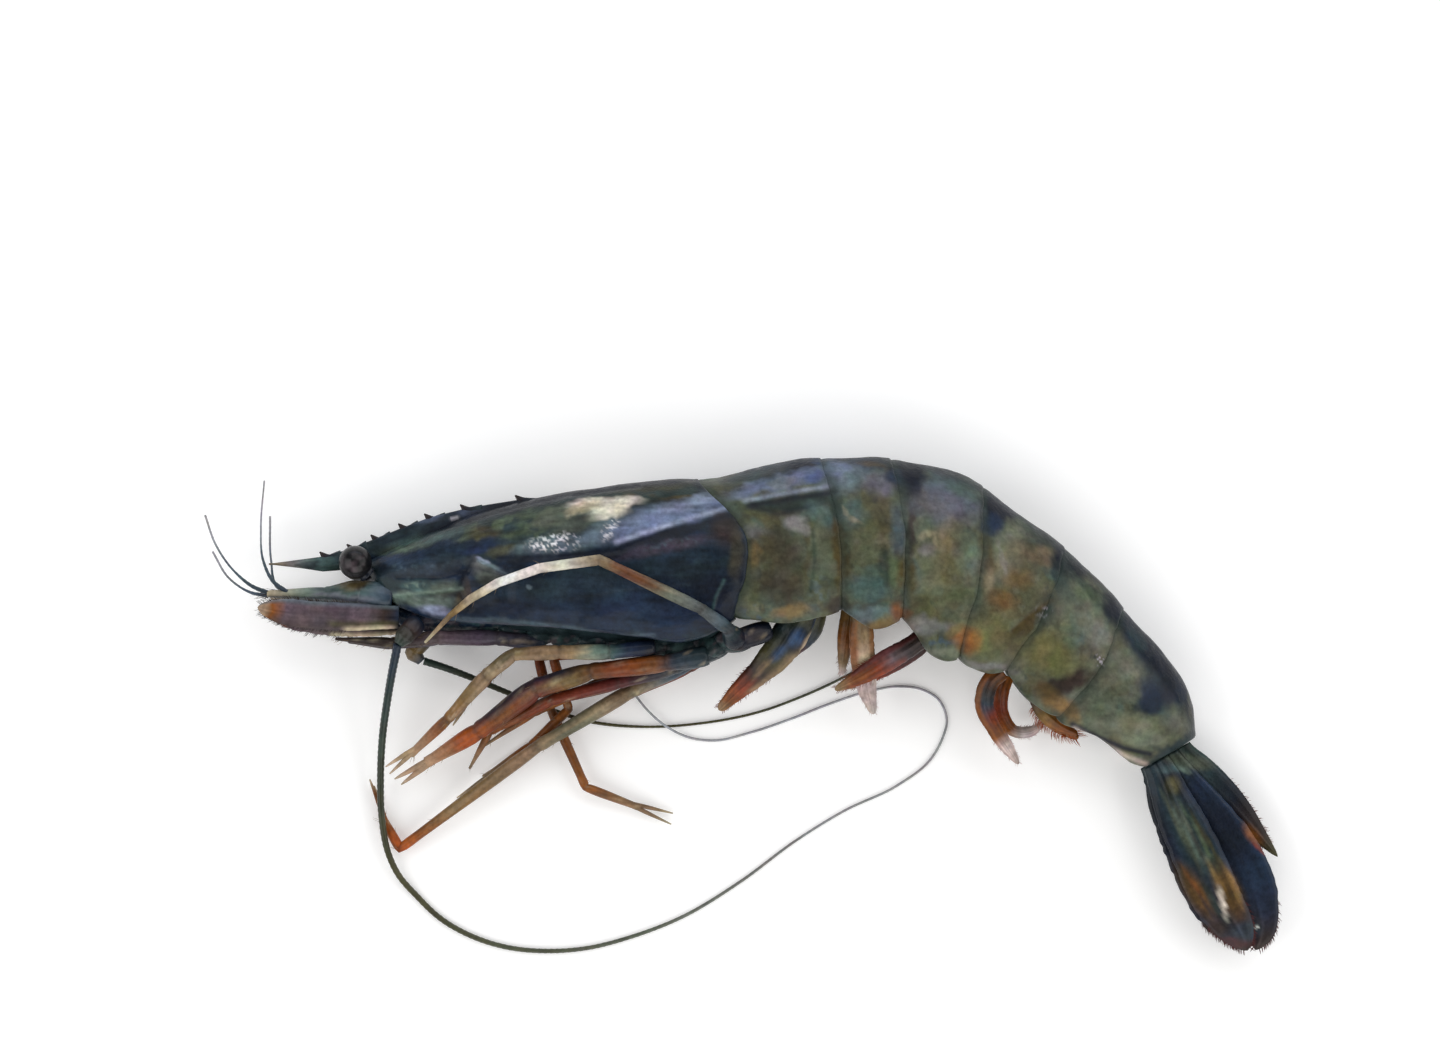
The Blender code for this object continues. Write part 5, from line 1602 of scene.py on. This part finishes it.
DARK_WHIP = ((0.0, Hue.DEEP_GREEN), (0.3, Hue.DARK_OLIVE), (0.7, Hue.DARK_OLIVE), (1.0, Hue.GREY_OLIVE))
FADING_WHIP = (
    (0.0, Hue.SHADOW_BLUE), (0.06, Hue.DEEP_GREEN), (0.2, Hue.DARK_OLIVE), (0.4, Hue.GREY_OLIVE),
    (0.55, Hue.BLUSH_GREY), (0.75, Hue.PALE_GREY), (1.0, Hue.PALE_GREY),
)
STALK_STOPS = ((0.0, Hue.SHADOW_BLUE), (0.1, Hue.STEEL), (0.3, Hue.SEA), (0.7, Hue.SAGE), (1.0, Hue.SAND))
HAIR_STOPS = ((0.0, Hue.SLATE), (0.4, Hue.STEEL), (1.0, Hue.PALE_GREY))
FEELERS = (
    Feeler(
        "antenna_left", ((-58.3, 14.8, 14.0), (-60.4, 12.6, 16.2), (-61.6, 11.0, 16.2)), (1.9, 1.9, 1.0),
        ((0.0, Hue.SHADOW_BLUE), (0.5, Hue.UMBER), (1.0, Hue.DEEP_GREEN)),
        (Whip(((-61.7, 11.0, 16.2), (-62.6, 7.0, 14.2), (-63.8, 1.0, 10.0), (-64.9, -6.3, 6.4),
         (-65.3, -13.5, 4.3), (-65.1, -20.7, 3.4), (-63.9, -27.3, 2.3), (-62.2, -31.0, 1.3),
         (-58.8, -35.0, 0.6), (-54.7, -38.9, 0.5), (-48.7, -42.3, 0.4), (-42.6, -44.2, 0.4),
         (-35.8, -44.9, 0.3), (-28.2, -44.4, 0.3), (-19.9, -42.3, 0.3), (-10.9, -38.8, 0.3),
         (-0.3, -32.4, 0.3), (10.0, -24.8, 0.3), (18.8, -19.4, 0.3), (28.4, -14.8, 0.3), (34.2, -10.3, 0.3),
         (36.5, -6.3, 0.3), (37.3, -3.2, 0.3), (35.8, 0.7, 0.3), (32.6, 2.6, 0.3), (28.6, 3.1, 0.3),
         (23.1, 2.2, 0.3), (15.9, -0.1, 0.3), (8.7, -2.9, 0.3), (1.5, -5.3, 0.3), (-4.8, -6.7, 0.3),
         (-9.3, -6.2, 0.4), (-13.8, -4.0, 1.2), (-17.4, -0.8, 0.9), (-19.3, 1.6, 0.6)), 0.78, 0.22, 640,
         FADING_WHIP),)
    ),
    Feeler(
        "antenna_right", ((-57.2, 12.0, 5.6), (-59.4, 9.4, 5.4), (-57.8, 7.7, 5.4)), (1.7, 1.7, 0.9),
        ((0.0, Hue.SLATE), (0.5, Hue.OCHRE), (1.0, Hue.SLATE)),
        (Whip(((-57.4, 7.8, 5.4), (-54.5, 6.9, 5.4), (-48.9, 4.8, 4.2), (-43.5, 2.5, 2.6),
         (-36.3, -0.4, 0.9), (-27.3, -3.3, 0.55), (-18.3, -4.2, 0.5), (-7.5, -3.6, 0.45), (4.3, -1.2, 0.4),
         (10.3, 1.0, 0.35), (15.8, 3.4, 0.35), (22.0, 6.6, 0.35)), 0.7, 0.24, 260, DARK_WHIP),)
    ),
    Feeler(
        "antennule_left",
        ((-62.8, 19.2, 11.8), (-69.0, 20.2, 11.8), (-75.0, 20.0, 11.9), (-85.4, 20.0, 11.9)),
        (2.9, 2.5, 1.35, 0.7), STALK_STOPS,
        (Whip(((-85.0, 20.1, 11.9), (-88.1, 21.4, 12.2), (-91.0, 23.8, 12.6), (-94.6, 28.9, 13.0),
         (-96.5, 34.2, 13.0)), 0.45, 0.2, 60, HAIR_STOPS), Whip(((-81.6, 20.2, 12.2), (-84.2, 22.2, 13.0),
         (-86.0, 26.0, 13.6), (-86.4, 32.0, 13.8), (-85.8, 40.4, 13.6)), 0.45, 0.16, 60, HAIR_STOPS)), 26,
        (Band(0.0, 1.0, -1.5, -0.5, Hue.SLATE, 0.8),),
        (Patch(356, 582, 16, 7, 10, Hue.OCHRE, 0.85), Patch(360, 587, 5, 2.5, 0, Hue.UMBER, 0.9),
         Patch(330, 592, 20, 4, 0, Hue.DARK_TEAL, 0.7), Patch(345, 598, 34, 3, 0, Hue.LAVENDER_GREY, 0.8))
    ),
    Feeler(
        "antennule_right", ((-64.2, 18.9, 7.4), (-71.0, 19.3, 7.4), (-79.0, 19.4, 7.4), (-85.0, 19.5, 7.4)),
        (1.3, 1.2, 1.0, 0.65), STALK_STOPS,
        (Whip(((-84.6, 19.6, 7.4), (-88.6, 20.2, 7.0), (-92.6, 22.8, 6.4), (-95.6, 27.6, 6.0)), 0.45, 0.2,
         50, HAIR_STOPS), Whip(((-81.2, 19.8, 7.4), (-84.0, 21.4, 6.8), (-85.0, 26.0, 6.2),
         (-85.2, 34.0, 6.0)), 0.45, 0.2, 50, HAIR_STOPS)), 26, (Band(0.0, 1.0, -1.5, -0.5, Hue.SLATE, 0.8),)
    ),
)


# Blades

@dataclass(frozen=True)
class Fringe:
    """Hairs along a blade's edge: from and to along it, how many on a side, how long, and their colour."""

    start: float
    end: float
    count: int
    length: float
    hue: Hue
    radius: float = 0.06


@dataclass(frozen=True)
class Blade:
    """A flat limb with a raised rib, thin uneven edges and a fringe of hairs."""

    name: str
    points: tuple
    widths: tuple
    heights: tuple
    stops: tuple
    finish: Finish
    bands: tuple = ()
    patches: tuple = ()
    fringe: Optional[Fringe] = None
    rib: float = 0.25
    ragged: float = 0.04
    streak: float = 0.5

    def make(self) -> bpy.types.Object:
        """Shapes, colours and dresses the blade."""
        rows, sides = 110, 44
        table = np.array([(*p, w, h) for p, w, h in zip(self.points, self.widths, self.heights)])
        dense = SmoothTable.through(self.points, table).evenly(rows)
        share = np.linspace(0, 1, rows)
        close = np.sqrt(np.clip(1 - np.clip((share - 0.95) / 0.05, 0, 1) ** 2, 0.01, 1))
        wobble = 1 + self.ragged * noise(np.c_[share * 40, share * 0, share * 0], 1.0, len(self.name))
        rings = tube(dense[:, :3], dense[:, 3] * close * wobble, dense[:, 4] * close, sides)
        turn = math.tau * np.arange(sides) / sides
        across = np.cos(turn)
        rib = self.rib * np.exp(-((across / 0.14) ** 2)) + 0.1 * self.rib * np.cos(across * 22)
        rings[..., 2] += rib * np.sign(np.sin(turn)) * dense[:, 4:5] * close[:, None]
        flat = rings.reshape(-1, 3)
        tint = tinted(rings, self.stops, self.bands, Paint(self.patches, uneven=0.24, drift=0.22))
        lines = np.c_[np.repeat(share * 2.2, sides), np.tile(across * 5.0, rows), np.zeros(len(flat))]
        tone = 1 + self.streak * (0.7 * noise(lines, 1.0, 13) + 0.5 * noise(lines, 0.45, 17))
        skin = Skin()
        skin.add(rings, np.clip(tint * tone.reshape(rows, sides, 1), 0, 1))
        if self.fringe:
            self.add_fringe(skin, dense, close, self.fringe)
        return skin.piece("seen_" + self.name, self.finish, self.name)

    def add_fringe(self, skin: Skin, dense: Array, close: Array, fringe: Fringe) -> None:
        """Adds hairs along both edges and round the tip.

        Args:
            skin: What they are added to.
            dense: Rows of x, y, z, half width and half height along the blade.
            close: How far the tip has closed at each row.
            fringe: The hairs.
        """
        chance = np.random.default_rng(len(self.name) * 7 + fringe.count)
        last = len(dense) - 1
        for side in (-1, 1):
            for _ in range(fringe.count):
                share = chance.uniform(fringe.start, fringe.end)
                k = min(int(share * last), last - 1)
                ahead = dense[k + 1, :3] - dense[k, :3]
                ahead /= np.linalg.norm(ahead)
                way = np.array((ahead[1], -ahead[0], 0.0)) * side
                root = dense[k, :3] + way * dense[k, 3] * close[k] * chance.uniform(0.75, 0.98)
                lean = 0.6 + 1.6 * smoothstep(0.7, 1.0, np.array(share))
                heading = way + ahead * lean + np.array((0, 0, chance.uniform(-0.15, 0.15)))
                tip = root + heading / np.linalg.norm(heading) * fringe.length * chance.uniform(0.5, 1.1)
                tip[2] = max(tip[2], HAIR_FLOOR)
                skin.hair(root, tip, ahead * -0.1 * fringe.length, fringe.radius, fringe.hue)


RED_FIBRES = Fringe(0.55, 1.0, 46, 0.9, Hue.BRICK)
FILM = Fringe(0.7, 1.0, 26, 0.8, Hue.PINK_FILM, 0.05)
SWIMMERS = (
    Blade(
        "swimmer_1_left",
        ((11.6, 17.2, 13.5), (9.3, 13.6, 13.5), (6.6, 9.5, 12.9), (3.3, 6.0, 12.0), (-0.6, 2.5, 10.8),
         (-4.1, -1.0, 9.4)), (2.3, 3.2, 3.0, 2.3, 1.6, 0.8), (1.6, 1.7, 1.4, 1.0, 0.8, 0.4),
        ((0.0, Hue.OLIVE), (0.2, Hue.DARK_TEAL), (0.42, Hue.DARK_OLIVE), (0.6, Hue.UMBER), (0.75, Hue.BRICK),
         (0.9, Hue.RUST), (1.0, Hue.TAN)), SWIMMER_FINISH, (Band(0.2, 0.75, -1.5, -0.55, Hue.TAN, 0.55),),
        (Patch(796, 640, 15, 11, 50, Hue.INK, 0.9), Patch(822, 626, 13, 12, 50, Hue.INK, 0.9),
         Patch(796, 638, 10, 7, 50, Hue.BLUE, 1.0), Patch(823, 625, 9, 9, 50, Hue.BLUE, 1.0),
         Patch(812, 640, 5, 16, -34, Hue.SAND, 0.8), Patch(778, 653, 11, 5, 45, Hue.BLUE, 0.8),
         Patch(762, 668, 14, 3, 45, Hue.TAN, 0.6)), RED_FIBRES
    ),
    Blade(
        "swimmer_1_right",
        ((13.6, 17.2, 8.3), (12.2, 13.8, 8.3), (8.6, 10.2, 7.6), (4.8, 7.0, 6.4), (1.0, 4.4, 5.4)),
        (2.0, 2.4, 2.0, 1.5, 0.6), (1.6, 1.6, 1.1, 0.7, 0.3),
        ((0.0, Hue.OLIVE), (0.3, Hue.SLATE), (0.6, Hue.BRICK), (1.0, Hue.TAN)), SWIMMER_FINISH,
        fringe=RED_FIBRES
    ),
    Blade(
        "swimmer_2_left",
        ((21.7, 17.0, 13.3), (21.6, 12.4, 12.9), (22.0, 7.2, 10.8), (22.7, 2.6, 8.4), (23.9, -1.8, 6.8)),
        (2.0, 2.2, 2.2, 1.7, 0.6), (1.4, 1.2, 0.7, 0.5, 0.25),
        ((0.0, Hue.OCHRE), (0.25, Hue.TAN), (0.45, Hue.SAND), (0.65, Hue.PINK_FILM), (1.0, Hue.PINK_FILM)),
        SWIMMER_FINISH,
        (Band(0.1, 0.6, 0.35, 1.5, Hue.RUST, 0.8), Band(0.1, 0.55, -1.5, -0.6, Hue.RUST, 0.6)), fringe=FILM,
        streak=0.3
    ),
    Blade(
        "swimmer_2_right", ((19.7, 17.0, 8.3), (18.8, 12.0, 8.1), (18.4, 8.2, 7.4), (18.1, 5.2, 6.6)),
        (1.7, 1.5, 1.0, 0.4), (1.3, 1.1, 0.7, 0.25),
        ((0.0, Hue.OCHRE), (0.4, Hue.RUST), (0.8, Hue.TAN), (1.0, Hue.PINK_FILM)), SWIMMER_FINISH,
        fringe=FILM, streak=0.3
    ),
    Blade(
        "swimmer_3_left",
        ((33.6, 12.9, 13.0), (30.6, 10.7, 13.4), (26.4, 8.2, 13.2), (21.8, 5.4, 12.4), (16.8, 2.7, 11.6)),
        (1.8, 1.8, 2.0, 1.6, 0.5), (1.5, 1.3, 0.8, 0.6, 0.25),
        ((0.0, Hue.UMBER), (0.2, Hue.UMBER), (0.4, Hue.MAUVE), (0.55, Hue.BRICK), (0.8, Hue.RUST),
         (1.0, Hue.TAN)), SWIMMER_FINISH,
        (Band(0.05, 0.8, 0.4, 1.5, Hue.WINE, 0.85), Band(0.3, 0.9, -1.5, -0.5, Hue.BRICK, 0.6)),
        fringe=RED_FIBRES
    ),
    Blade(
        "swimmer_3_right",
        ((34.2, 12.5, 7.6), (31.0, 9.7, 7.6), (27.2, 7.5, 6.4), (22.8, 5.0, 5.2), (18.8, 2.9, 4.4)),
        (1.7, 1.7, 1.8, 1.3, 0.5), (1.4, 1.2, 0.8, 0.6, 0.25),
        ((0.0, Hue.UMBER), (0.4, Hue.WINE), (0.7, Hue.BRICK), (1.0, Hue.TAN)), SWIMMER_FINISH,
        fringe=RED_FIBRES
    ),
    Blade(
        "swimmer_4_left",
        ((46.9, 6.1, 11.4), (44.7, 4.1, 11.6), (43.7, 0.4, 11.0), (45.6, -4.1, 9.0), (48.0, -7.8, 7.8),
         (50.1, -10.8, 7.0)), (1.6, 1.7, 1.7, 1.5, 1.2, 0.4), (1.4, 1.2, 0.9, 0.6, 0.5, 0.25),
        ((0.0, Hue.RUST), (0.2, Hue.UMBER), (0.35, Hue.SLATE), (0.5, Hue.BRICK), (0.68, Hue.RUST),
         (0.8, Hue.PINK_FILM), (1.0, Hue.PINK_FILM)), SWIMMER_FINISH,
        (Band(0.0, 0.7, 0.4, 1.5, Hue.RUST, 0.85),), fringe=FILM
    ),
    Blade(
        "swimmer_4_right",
        ((47.8, 5.2, 6.6), (46.8, 1.8, 6.6), (47.1, -1.8, 5.4), (49.4, -4.9, 4.4), (52.3, -5.0, 3.8),
         (54.8, -3.3, 3.4)), (1.5, 1.5, 1.3, 1.1, 1.0, 0.4), (1.3, 1.0, 0.7, 0.5, 0.4, 0.25),
        ((0.0, Hue.RUST), (0.35, Hue.BRICK), (0.6, Hue.RUST), (0.75, Hue.PINK_FILM), (1.0, Hue.PINK_FILM)),
        SWIMMER_FINISH, fringe=FILM
    ),
    Blade(
        "swimmer_5_left", ((53.4, 1.2, 9.8), (54.7, -1.3, 10.0), (57.2, -3.6, 9.6), (60.6, -5.4, 9.0)),
        (1.6, 1.7, 1.4, 0.5), (1.2, 1.1, 0.8, 0.25),
        ((0.0, Hue.UMBER), (0.3, Hue.GOLD), (0.7, Hue.RUST), (1.0, Hue.RUST)), SWIMMER_FINISH,
        fringe=Fringe(0.1, 1.0, 70, 1.8, Hue.ORANGE)
    ),
    Blade(
        "swimmer_5_right", ((53.8, 1.0, 5.8), (55.1, -1.7, 5.6), (57.8, -4.2, 5.0), (61.0, -6.2, 4.4)),
        (1.5, 1.6, 1.3, 0.5), (1.1, 1.0, 0.7, 0.25),
        ((0.0, Hue.UMBER), (0.3, Hue.GOLD), (0.7, Hue.RUST), (1.0, Hue.RUST)), SWIMMER_FINISH,
        fringe=Fringe(0.1, 1.0, 70, 1.8, Hue.ORANGE)
    ),
)
SCALE_STOPS = (
    (0.0, Hue.SHADOW_BLUE), (0.1, Hue.UMBER), (0.22, Hue.MAUVE), (0.8, Hue.MAUVE), (0.9, Hue.RUST),
    (1.0, Hue.SAND),
)
SCALES = (
    Blade(
        "antennal_scale_left",
        ((-61.6, 15.8, 14.2), (-70.0, 15.9, 14.3), (-77.0, 16.2, 14.3), (-83.5, 17.0, 14.2),
         (-87.0, 17.6, 14.1)), (2.0, 2.5, 2.5, 2.1, 0.7), (0.5, 0.55, 0.55, 0.45, 0.3), SCALE_STOPS,
        HEAD_FINISH,
        (Band(0.0, 0.5, -0.75, -0.35, Hue.OLIVE, 0.7), Band(0.02, 0.4, -1.5, -0.7, Hue.SAND, 0.95),
         Band(0.4, 0.9, -1.5, -0.8, Hue.UMBER, 0.6), Band(0.0, 1.0, 0.75, 1.5, Hue.MIST, 0.6)), (),
        Fringe(0.35, 1.0, 110, 1.1, Hue.UMBER), streak=0.35
    ),
    Blade(
        "antennal_scale_right",
        ((-61.6, 14.6, 4.9), (-70.0, 14.7, 4.9), (-77.0, 15.2, 4.9), (-82.5, 16.2, 4.9), (-86.0, 17.0, 4.9)),
        (2.0, 2.5, 2.5, 2.1, 0.7), (0.5, 0.55, 0.55, 0.45, 0.3), SCALE_STOPS, HEAD_FINISH,
        (Band(0.0, 0.5, -1.5, -0.7, Hue.SAND, 0.8),), (), Fringe(0.35, 1.0, 110, 1.1, Hue.UMBER), streak=0.35
    ),
)
TAIL_PATCHES = each(
    Patch,
    (1162, 830, 7, 50, 24, Hue.INK, 0.8),
    (1174, 786, 14, 14, 0, Hue.INK, 0.8, 0.25),
    (1174, 785, 8, 9, 0, Hue.DARK_OLIVE, 0.95, 0.4),
    (1175, 785, 3, 7, 10, Hue.OLIVE_YELLOW, 0.6, 0.6),
    (1174, 768, 16, 4, 10, Hue.TEAL, 0.7, 0.6),
    (1185, 770, 8, 3, -30, Hue.SAGE, 0.8),
    (1190, 762, 24, 7, -10, Hue.GREY_OLIVE, 0.8),
    (1192, 836, 16, 52, 30, Hue.DEEP_GREEN, 0.75, 0.6),
    (1182, 832, 2.2, 40, 27, Hue.GREY_OLIVE, 0.8, 0.6),
    (1189, 838, 1.6, 42, 29, Hue.SAGE, 0.4, 0.6),
    (1196, 842, 2.4, 44, 30, Hue.PALE_OLIVE, 0.6, 0.6),
    (1203, 842, 1.6, 40, 31, Hue.MOSS, 0.8, 0.6),
    (1209, 842, 2, 36, 32, Hue.DARK_OLIVE, 0.8, 0.6),
    (1200, 850, 1.2, 40, 30, Hue.INK, 0.7, 0.6),
    (1226, 832, 15, 38, 32, Hue.INK, 0.85),
    (1230, 892, 11, 29, 24, Hue.DARK_GOLD, 0.9, 0.6),
    (1236, 890, 3, 20, 22, Hue.GOLD, 0.7, 0.6),
    (1217, 878, 2, 18, 28, Hue.GOLD, 0.5, 0.6),
    # painted highlight: the cream streak on the blade
    (1224, 905, 2.6, 15, 14, Hue.CREAM, 0.95, 0.5),
    (1197, 893, 10, 30, 32, Hue.DARK_GOLD, 0.85, 0.6),
    (1203, 900, 1.6, 26, 32, Hue.INK, 0.6, 0.6),
    (1193, 882, 2.5, 18, 34, Hue.RUST, 0.4, 0.6),
    (1213, 900, 3, 24, 28, Hue.DEEP_GREEN, 0.7),
    (1214, 932, 14, 9, 30, Hue.UMBER, 0.85),
    (1228, 944, 26, 6, 0, Hue.WINE, 0.5),
    (1266, 892, 12, 30, 6, Hue.NAVY, 0.7),
    (1248, 932, 14, 9, 0, Hue.SLATE, 0.9),
    # painted glint: the white dot near the tip
    (1258, 928, 1.8, 1.8, 0, Hue.WHITE, 1.0, 0.3),
    (1255, 836, 11, 5, -50, Hue.ORANGE_GOLD, 0.6, 0.8),
    (1262, 850, 10, 2, -44, Hue.BRICK, 0.6),
)
TAIL_FRINGE = Fringe(0.8, 1.0, 130, 1.1, Hue.WINE, 0.07)
NAVY_STOPS = ((0.0, Hue.DARK_TEAL), (0.2, Hue.NAVY), (0.7, Hue.NAVY), (1.0, Hue.UMBER))
TAIL = (
    Blade(
        "telson",
        ((78.81, -8.12, 5.2), (79.5, -9.3, 5.2), (83.4, -13.2, 5.2), (89.6, -19.4, 5.2), (94.2, -24.4, 5.2),
         (97.0, -27.6, 5.2)), (2.6, 2.9, 3.4, 2.8, 1.3, 0.25), (0.8, 0.8, 0.8, 0.7, 0.5, 0.25),
        ((0.0, Hue.DEEP_GREEN), (0.25, Hue.DARK_TEAL), (0.5, Hue.INK), (0.8, Hue.UMBER),
         (1.0, Hue.DARK_OLIVE)), TAIL_FINISH, (), TAIL_PATCHES, Fringe(0.4, 0.9, 60, 1.0, Hue.BRICK),
        ragged=0.01
    ),
    Blade(
        "tail_fan_outer_left",
        ((74.71, -10.47, 8.4), (75.3, -11.5, 8.5), (78.0, -18.0, 9.6), (81.8, -26.2, 9.9),
         (86.0, -35.4, 9.2), (89.8, -41.4, 8.4), (91.4, -44.4, 7.8)), (2.5, 2.7, 3.8, 4.5, 4.4, 3.0, 1.0),
        (1.2, 1.2, 1.0, 0.7, 0.55, 0.5, 0.3), NAVY_STOPS, TAIL_FINISH, (), TAIL_PATCHES, TAIL_FRINGE, 0.3
    ),
    Blade(
        "tail_fan_inner_left",
        ((77.07, -9.12, 6.7), (77.75, -10.3, 6.75), (83.6, -19.0, 7.4), (89.4, -27.9, 7.6),
         (92.8, -36.0, 7.2), (93.7, -41.0, 6.8), (93.0, -44.4, 6.4)), (1.8, 2.1, 3.9, 4.9, 4.3, 2.8, 0.9),
        (0.4, 0.4, 0.5, 0.5, 0.45, 0.4, 0.3), NAVY_STOPS, TAIL_FINISH, (), TAIL_PATCHES, TAIL_FRINGE, 0.3
    ),
    Blade(
        "tail_fan_inner_right",
        ((76.9, -9.22, 3.3), (77.6, -10.45, 3.3), (83.2, -19.6, 3.1), (88.8, -28.4, 3.1), (92.0, -36.2, 2.9),
         (92.8, -41.0, 2.8), (92.2, -44.0, 2.7)), (1.8, 2.1, 3.7, 4.3, 3.9, 2.7, 0.9),
        (0.5, 0.5, 0.5, 0.5, 0.45, 0.4, 0.3), NAVY_STOPS, TAIL_FINISH, (), TAIL_PATCHES, TAIL_FRINGE, 0.3
    ),
    Blade(
        "tail_fan_outer_right",
        ((74.54, -10.57, 1.4), (75.1, -11.56, 1.4), (77.8, -18.6, 1.2), (81.4, -26.6, 1.1),
         (85.4, -35.2, 1.1), (89.0, -41.0, 1.1), (90.4, -43.9, 1.1)), (2.5, 2.7, 3.8, 4.5, 4.4, 3.0, 1.0),
        (0.9, 0.9, 0.7, 0.55, 0.5, 0.45, 0.3), NAVY_STOPS, TAIL_FINISH, (), TAIL_PATCHES, TAIL_FRINGE, 0.3
    ),
)


# The studio

@dataclass(frozen=True)
class Softbox:
    """A soft light that points at the prawn: where it stands, its two sides and its power in watts."""

    name: str
    place: tuple
    size: tuple
    power: float
    colour: tuple = (1.0, 1.0, 1.0)

    def make(self) -> None:
        """Hangs the light."""
        lamp = bpy.data.lights.new(self.name, "AREA")
        lamp.shape = "RECTANGLE"
        lamp.size, lamp.size_y = self.size
        lamp.energy = self.power
        lamp.color = self.colour
        thing = bpy.data.objects.new(self.name, lamp)
        thing.location = self.place
        thing.rotation_euler = (-Vector(self.place)).to_track_quat("-Z", "Y").to_euler()
        bpy.context.scene.collection.objects.link(thing)


@dataclass(frozen=True)
class Studio:
    """A plain pale floor, soft lights and a camera that looks straight down."""

    lens: float = 200.0
    distance: float = 1.44
    aim: tuple = (-0.00414, 0.03299, 0.012)
    sky: float = 0.2
    floor_half: float = 3.0
    floor_level: float = -0.05 * MM
    corners: tuple = ((-1, -1), (1, -1), (1, 1), (-1, 1))
    lights: tuple = (
        Softbox("low_back_light", (0.0, 0.8, 0.2), (1.2, 0.12), 1.1, (0.74, 0.82, 1.0)),
        Softbox("back_light", (0.1, 0.7, 0.66), (1.1, 0.8), 3.4),
        Softbox("left_light", (-0.8, -0.1, 0.6), (1.0, 0.9), 5.2),
        Softbox("front_light", (0.2, -0.8, 0.6), (1.2, 0.9), 6.0, (1.0, 0.99, 0.97)),
        Softbox("right_light", (0.8, 0.1, 0.6), (1.0, 0.9), 4.2),
    )

    def make(self) -> None:
        """Lays the floor, hangs the lights and sets up the camera."""
        mesh = bpy.data.meshes.new("floor")
        corners = [(x * self.floor_half, y * self.floor_half, self.floor_level) for x, y in self.corners]
        mesh.from_pydata(corners, [], [(0, 1, 2, 3)])
        floor = bpy.data.objects.new("floor", mesh)
        bpy.context.scene.collection.objects.link(floor)
        pale = bpy.data.materials.new("floor_pale")
        pale.use_nodes = True
        shader = pale.node_tree.nodes["Principled BSDF"]
        for name, value in (
            ("Base Color", (0.93, 0.93, 0.93, 1.0)), ("Roughness", 0.9), ("Specular IOR Level", 0.1),
            ("Emission Color", (1.0, 1.0, 1.0, 1.0)), ("Emission Strength", 0.15),
        ):
            shader.inputs[name].default_value = value
        mesh.materials.append(pale)
        world = bpy.data.worlds.new("studio")
        world.use_nodes = True
        sky = world.node_tree.nodes["Background"]
        sky.inputs["Color"].default_value = (1.0, 1.0, 1.0, 1.0)
        sky.inputs["Strength"].default_value = self.sky
        bpy.context.scene.world = world
        for light in self.lights:
            light.make()
        lens = bpy.data.cameras.new("camera")
        lens.lens = self.lens
        lens.clip_end = 20.0
        camera = bpy.data.objects.new("camera", lens)
        camera.location = (self.aim[0], self.aim[1], self.aim[2] + self.distance)
        bpy.context.scene.collection.objects.link(camera)
        bpy.context.scene.camera = camera
        bpy.context.scene.view_settings.view_transform = "Standard"


def plates() -> list:
    """The head shell and the six tail segments, front to back."""
    places = BODY_CURVE.places
    nose = ((-1.5, -3.4), (-1.3, -2.2), (-0.9, -1.1), (-0.4, -0.35))
    made = [Plate("carapace", 0.0, places[CARAPACE_END] - GAP, 0.0, CARAPACE_BOW, 280, False, False, False,
                  HEAD_PAINT, Hue.NAVY, Hue.DEEP_GREEN, front=nose, fold_depth=0.0)]
    start, bow = CARAPACE_END, CARAPACE_BOW
    for number, (end, end_bow) in enumerate(zip(SEGMENT_ENDS, PLATE_BOWS), 1):
        lobed = number < len(SEGMENT_ENDS)
        last = GAP if lobed else 0.0
        made.append(Plate(f"abdomen_{number}", places[start], places[end] - last, bow, end_bow, 76, True,
                          True, lobed, BODY_PAINT, Hue.GREY_OLIVE, Hue.DEEP_GREEN, lobed))
        start, bow = end, end_bow
    return made


def main() -> None:
    """Builds every piece of the prawn, then the studio."""
    logging.basicConfig(level=logging.INFO, format="%(message)s")
    for plate in plates():
        plate.make()
    head = Head()
    head.beak()
    head.underside()
    for eye in (Eye("eye_left", (-69.4, 25.7, 14.6), (-67.2, 23.4, 13.8)),
                Eye("eye_right", (-69.4, 25.3, 3.3), (-67.4, 22.4, 4.6))):
        eye.make()
    for part in (*LIMBS, *FEELERS, *SWIMMERS, *SCALES, *TAIL):
        part.make()
    Studio().make()


if __name__ == "__main__":
    main()
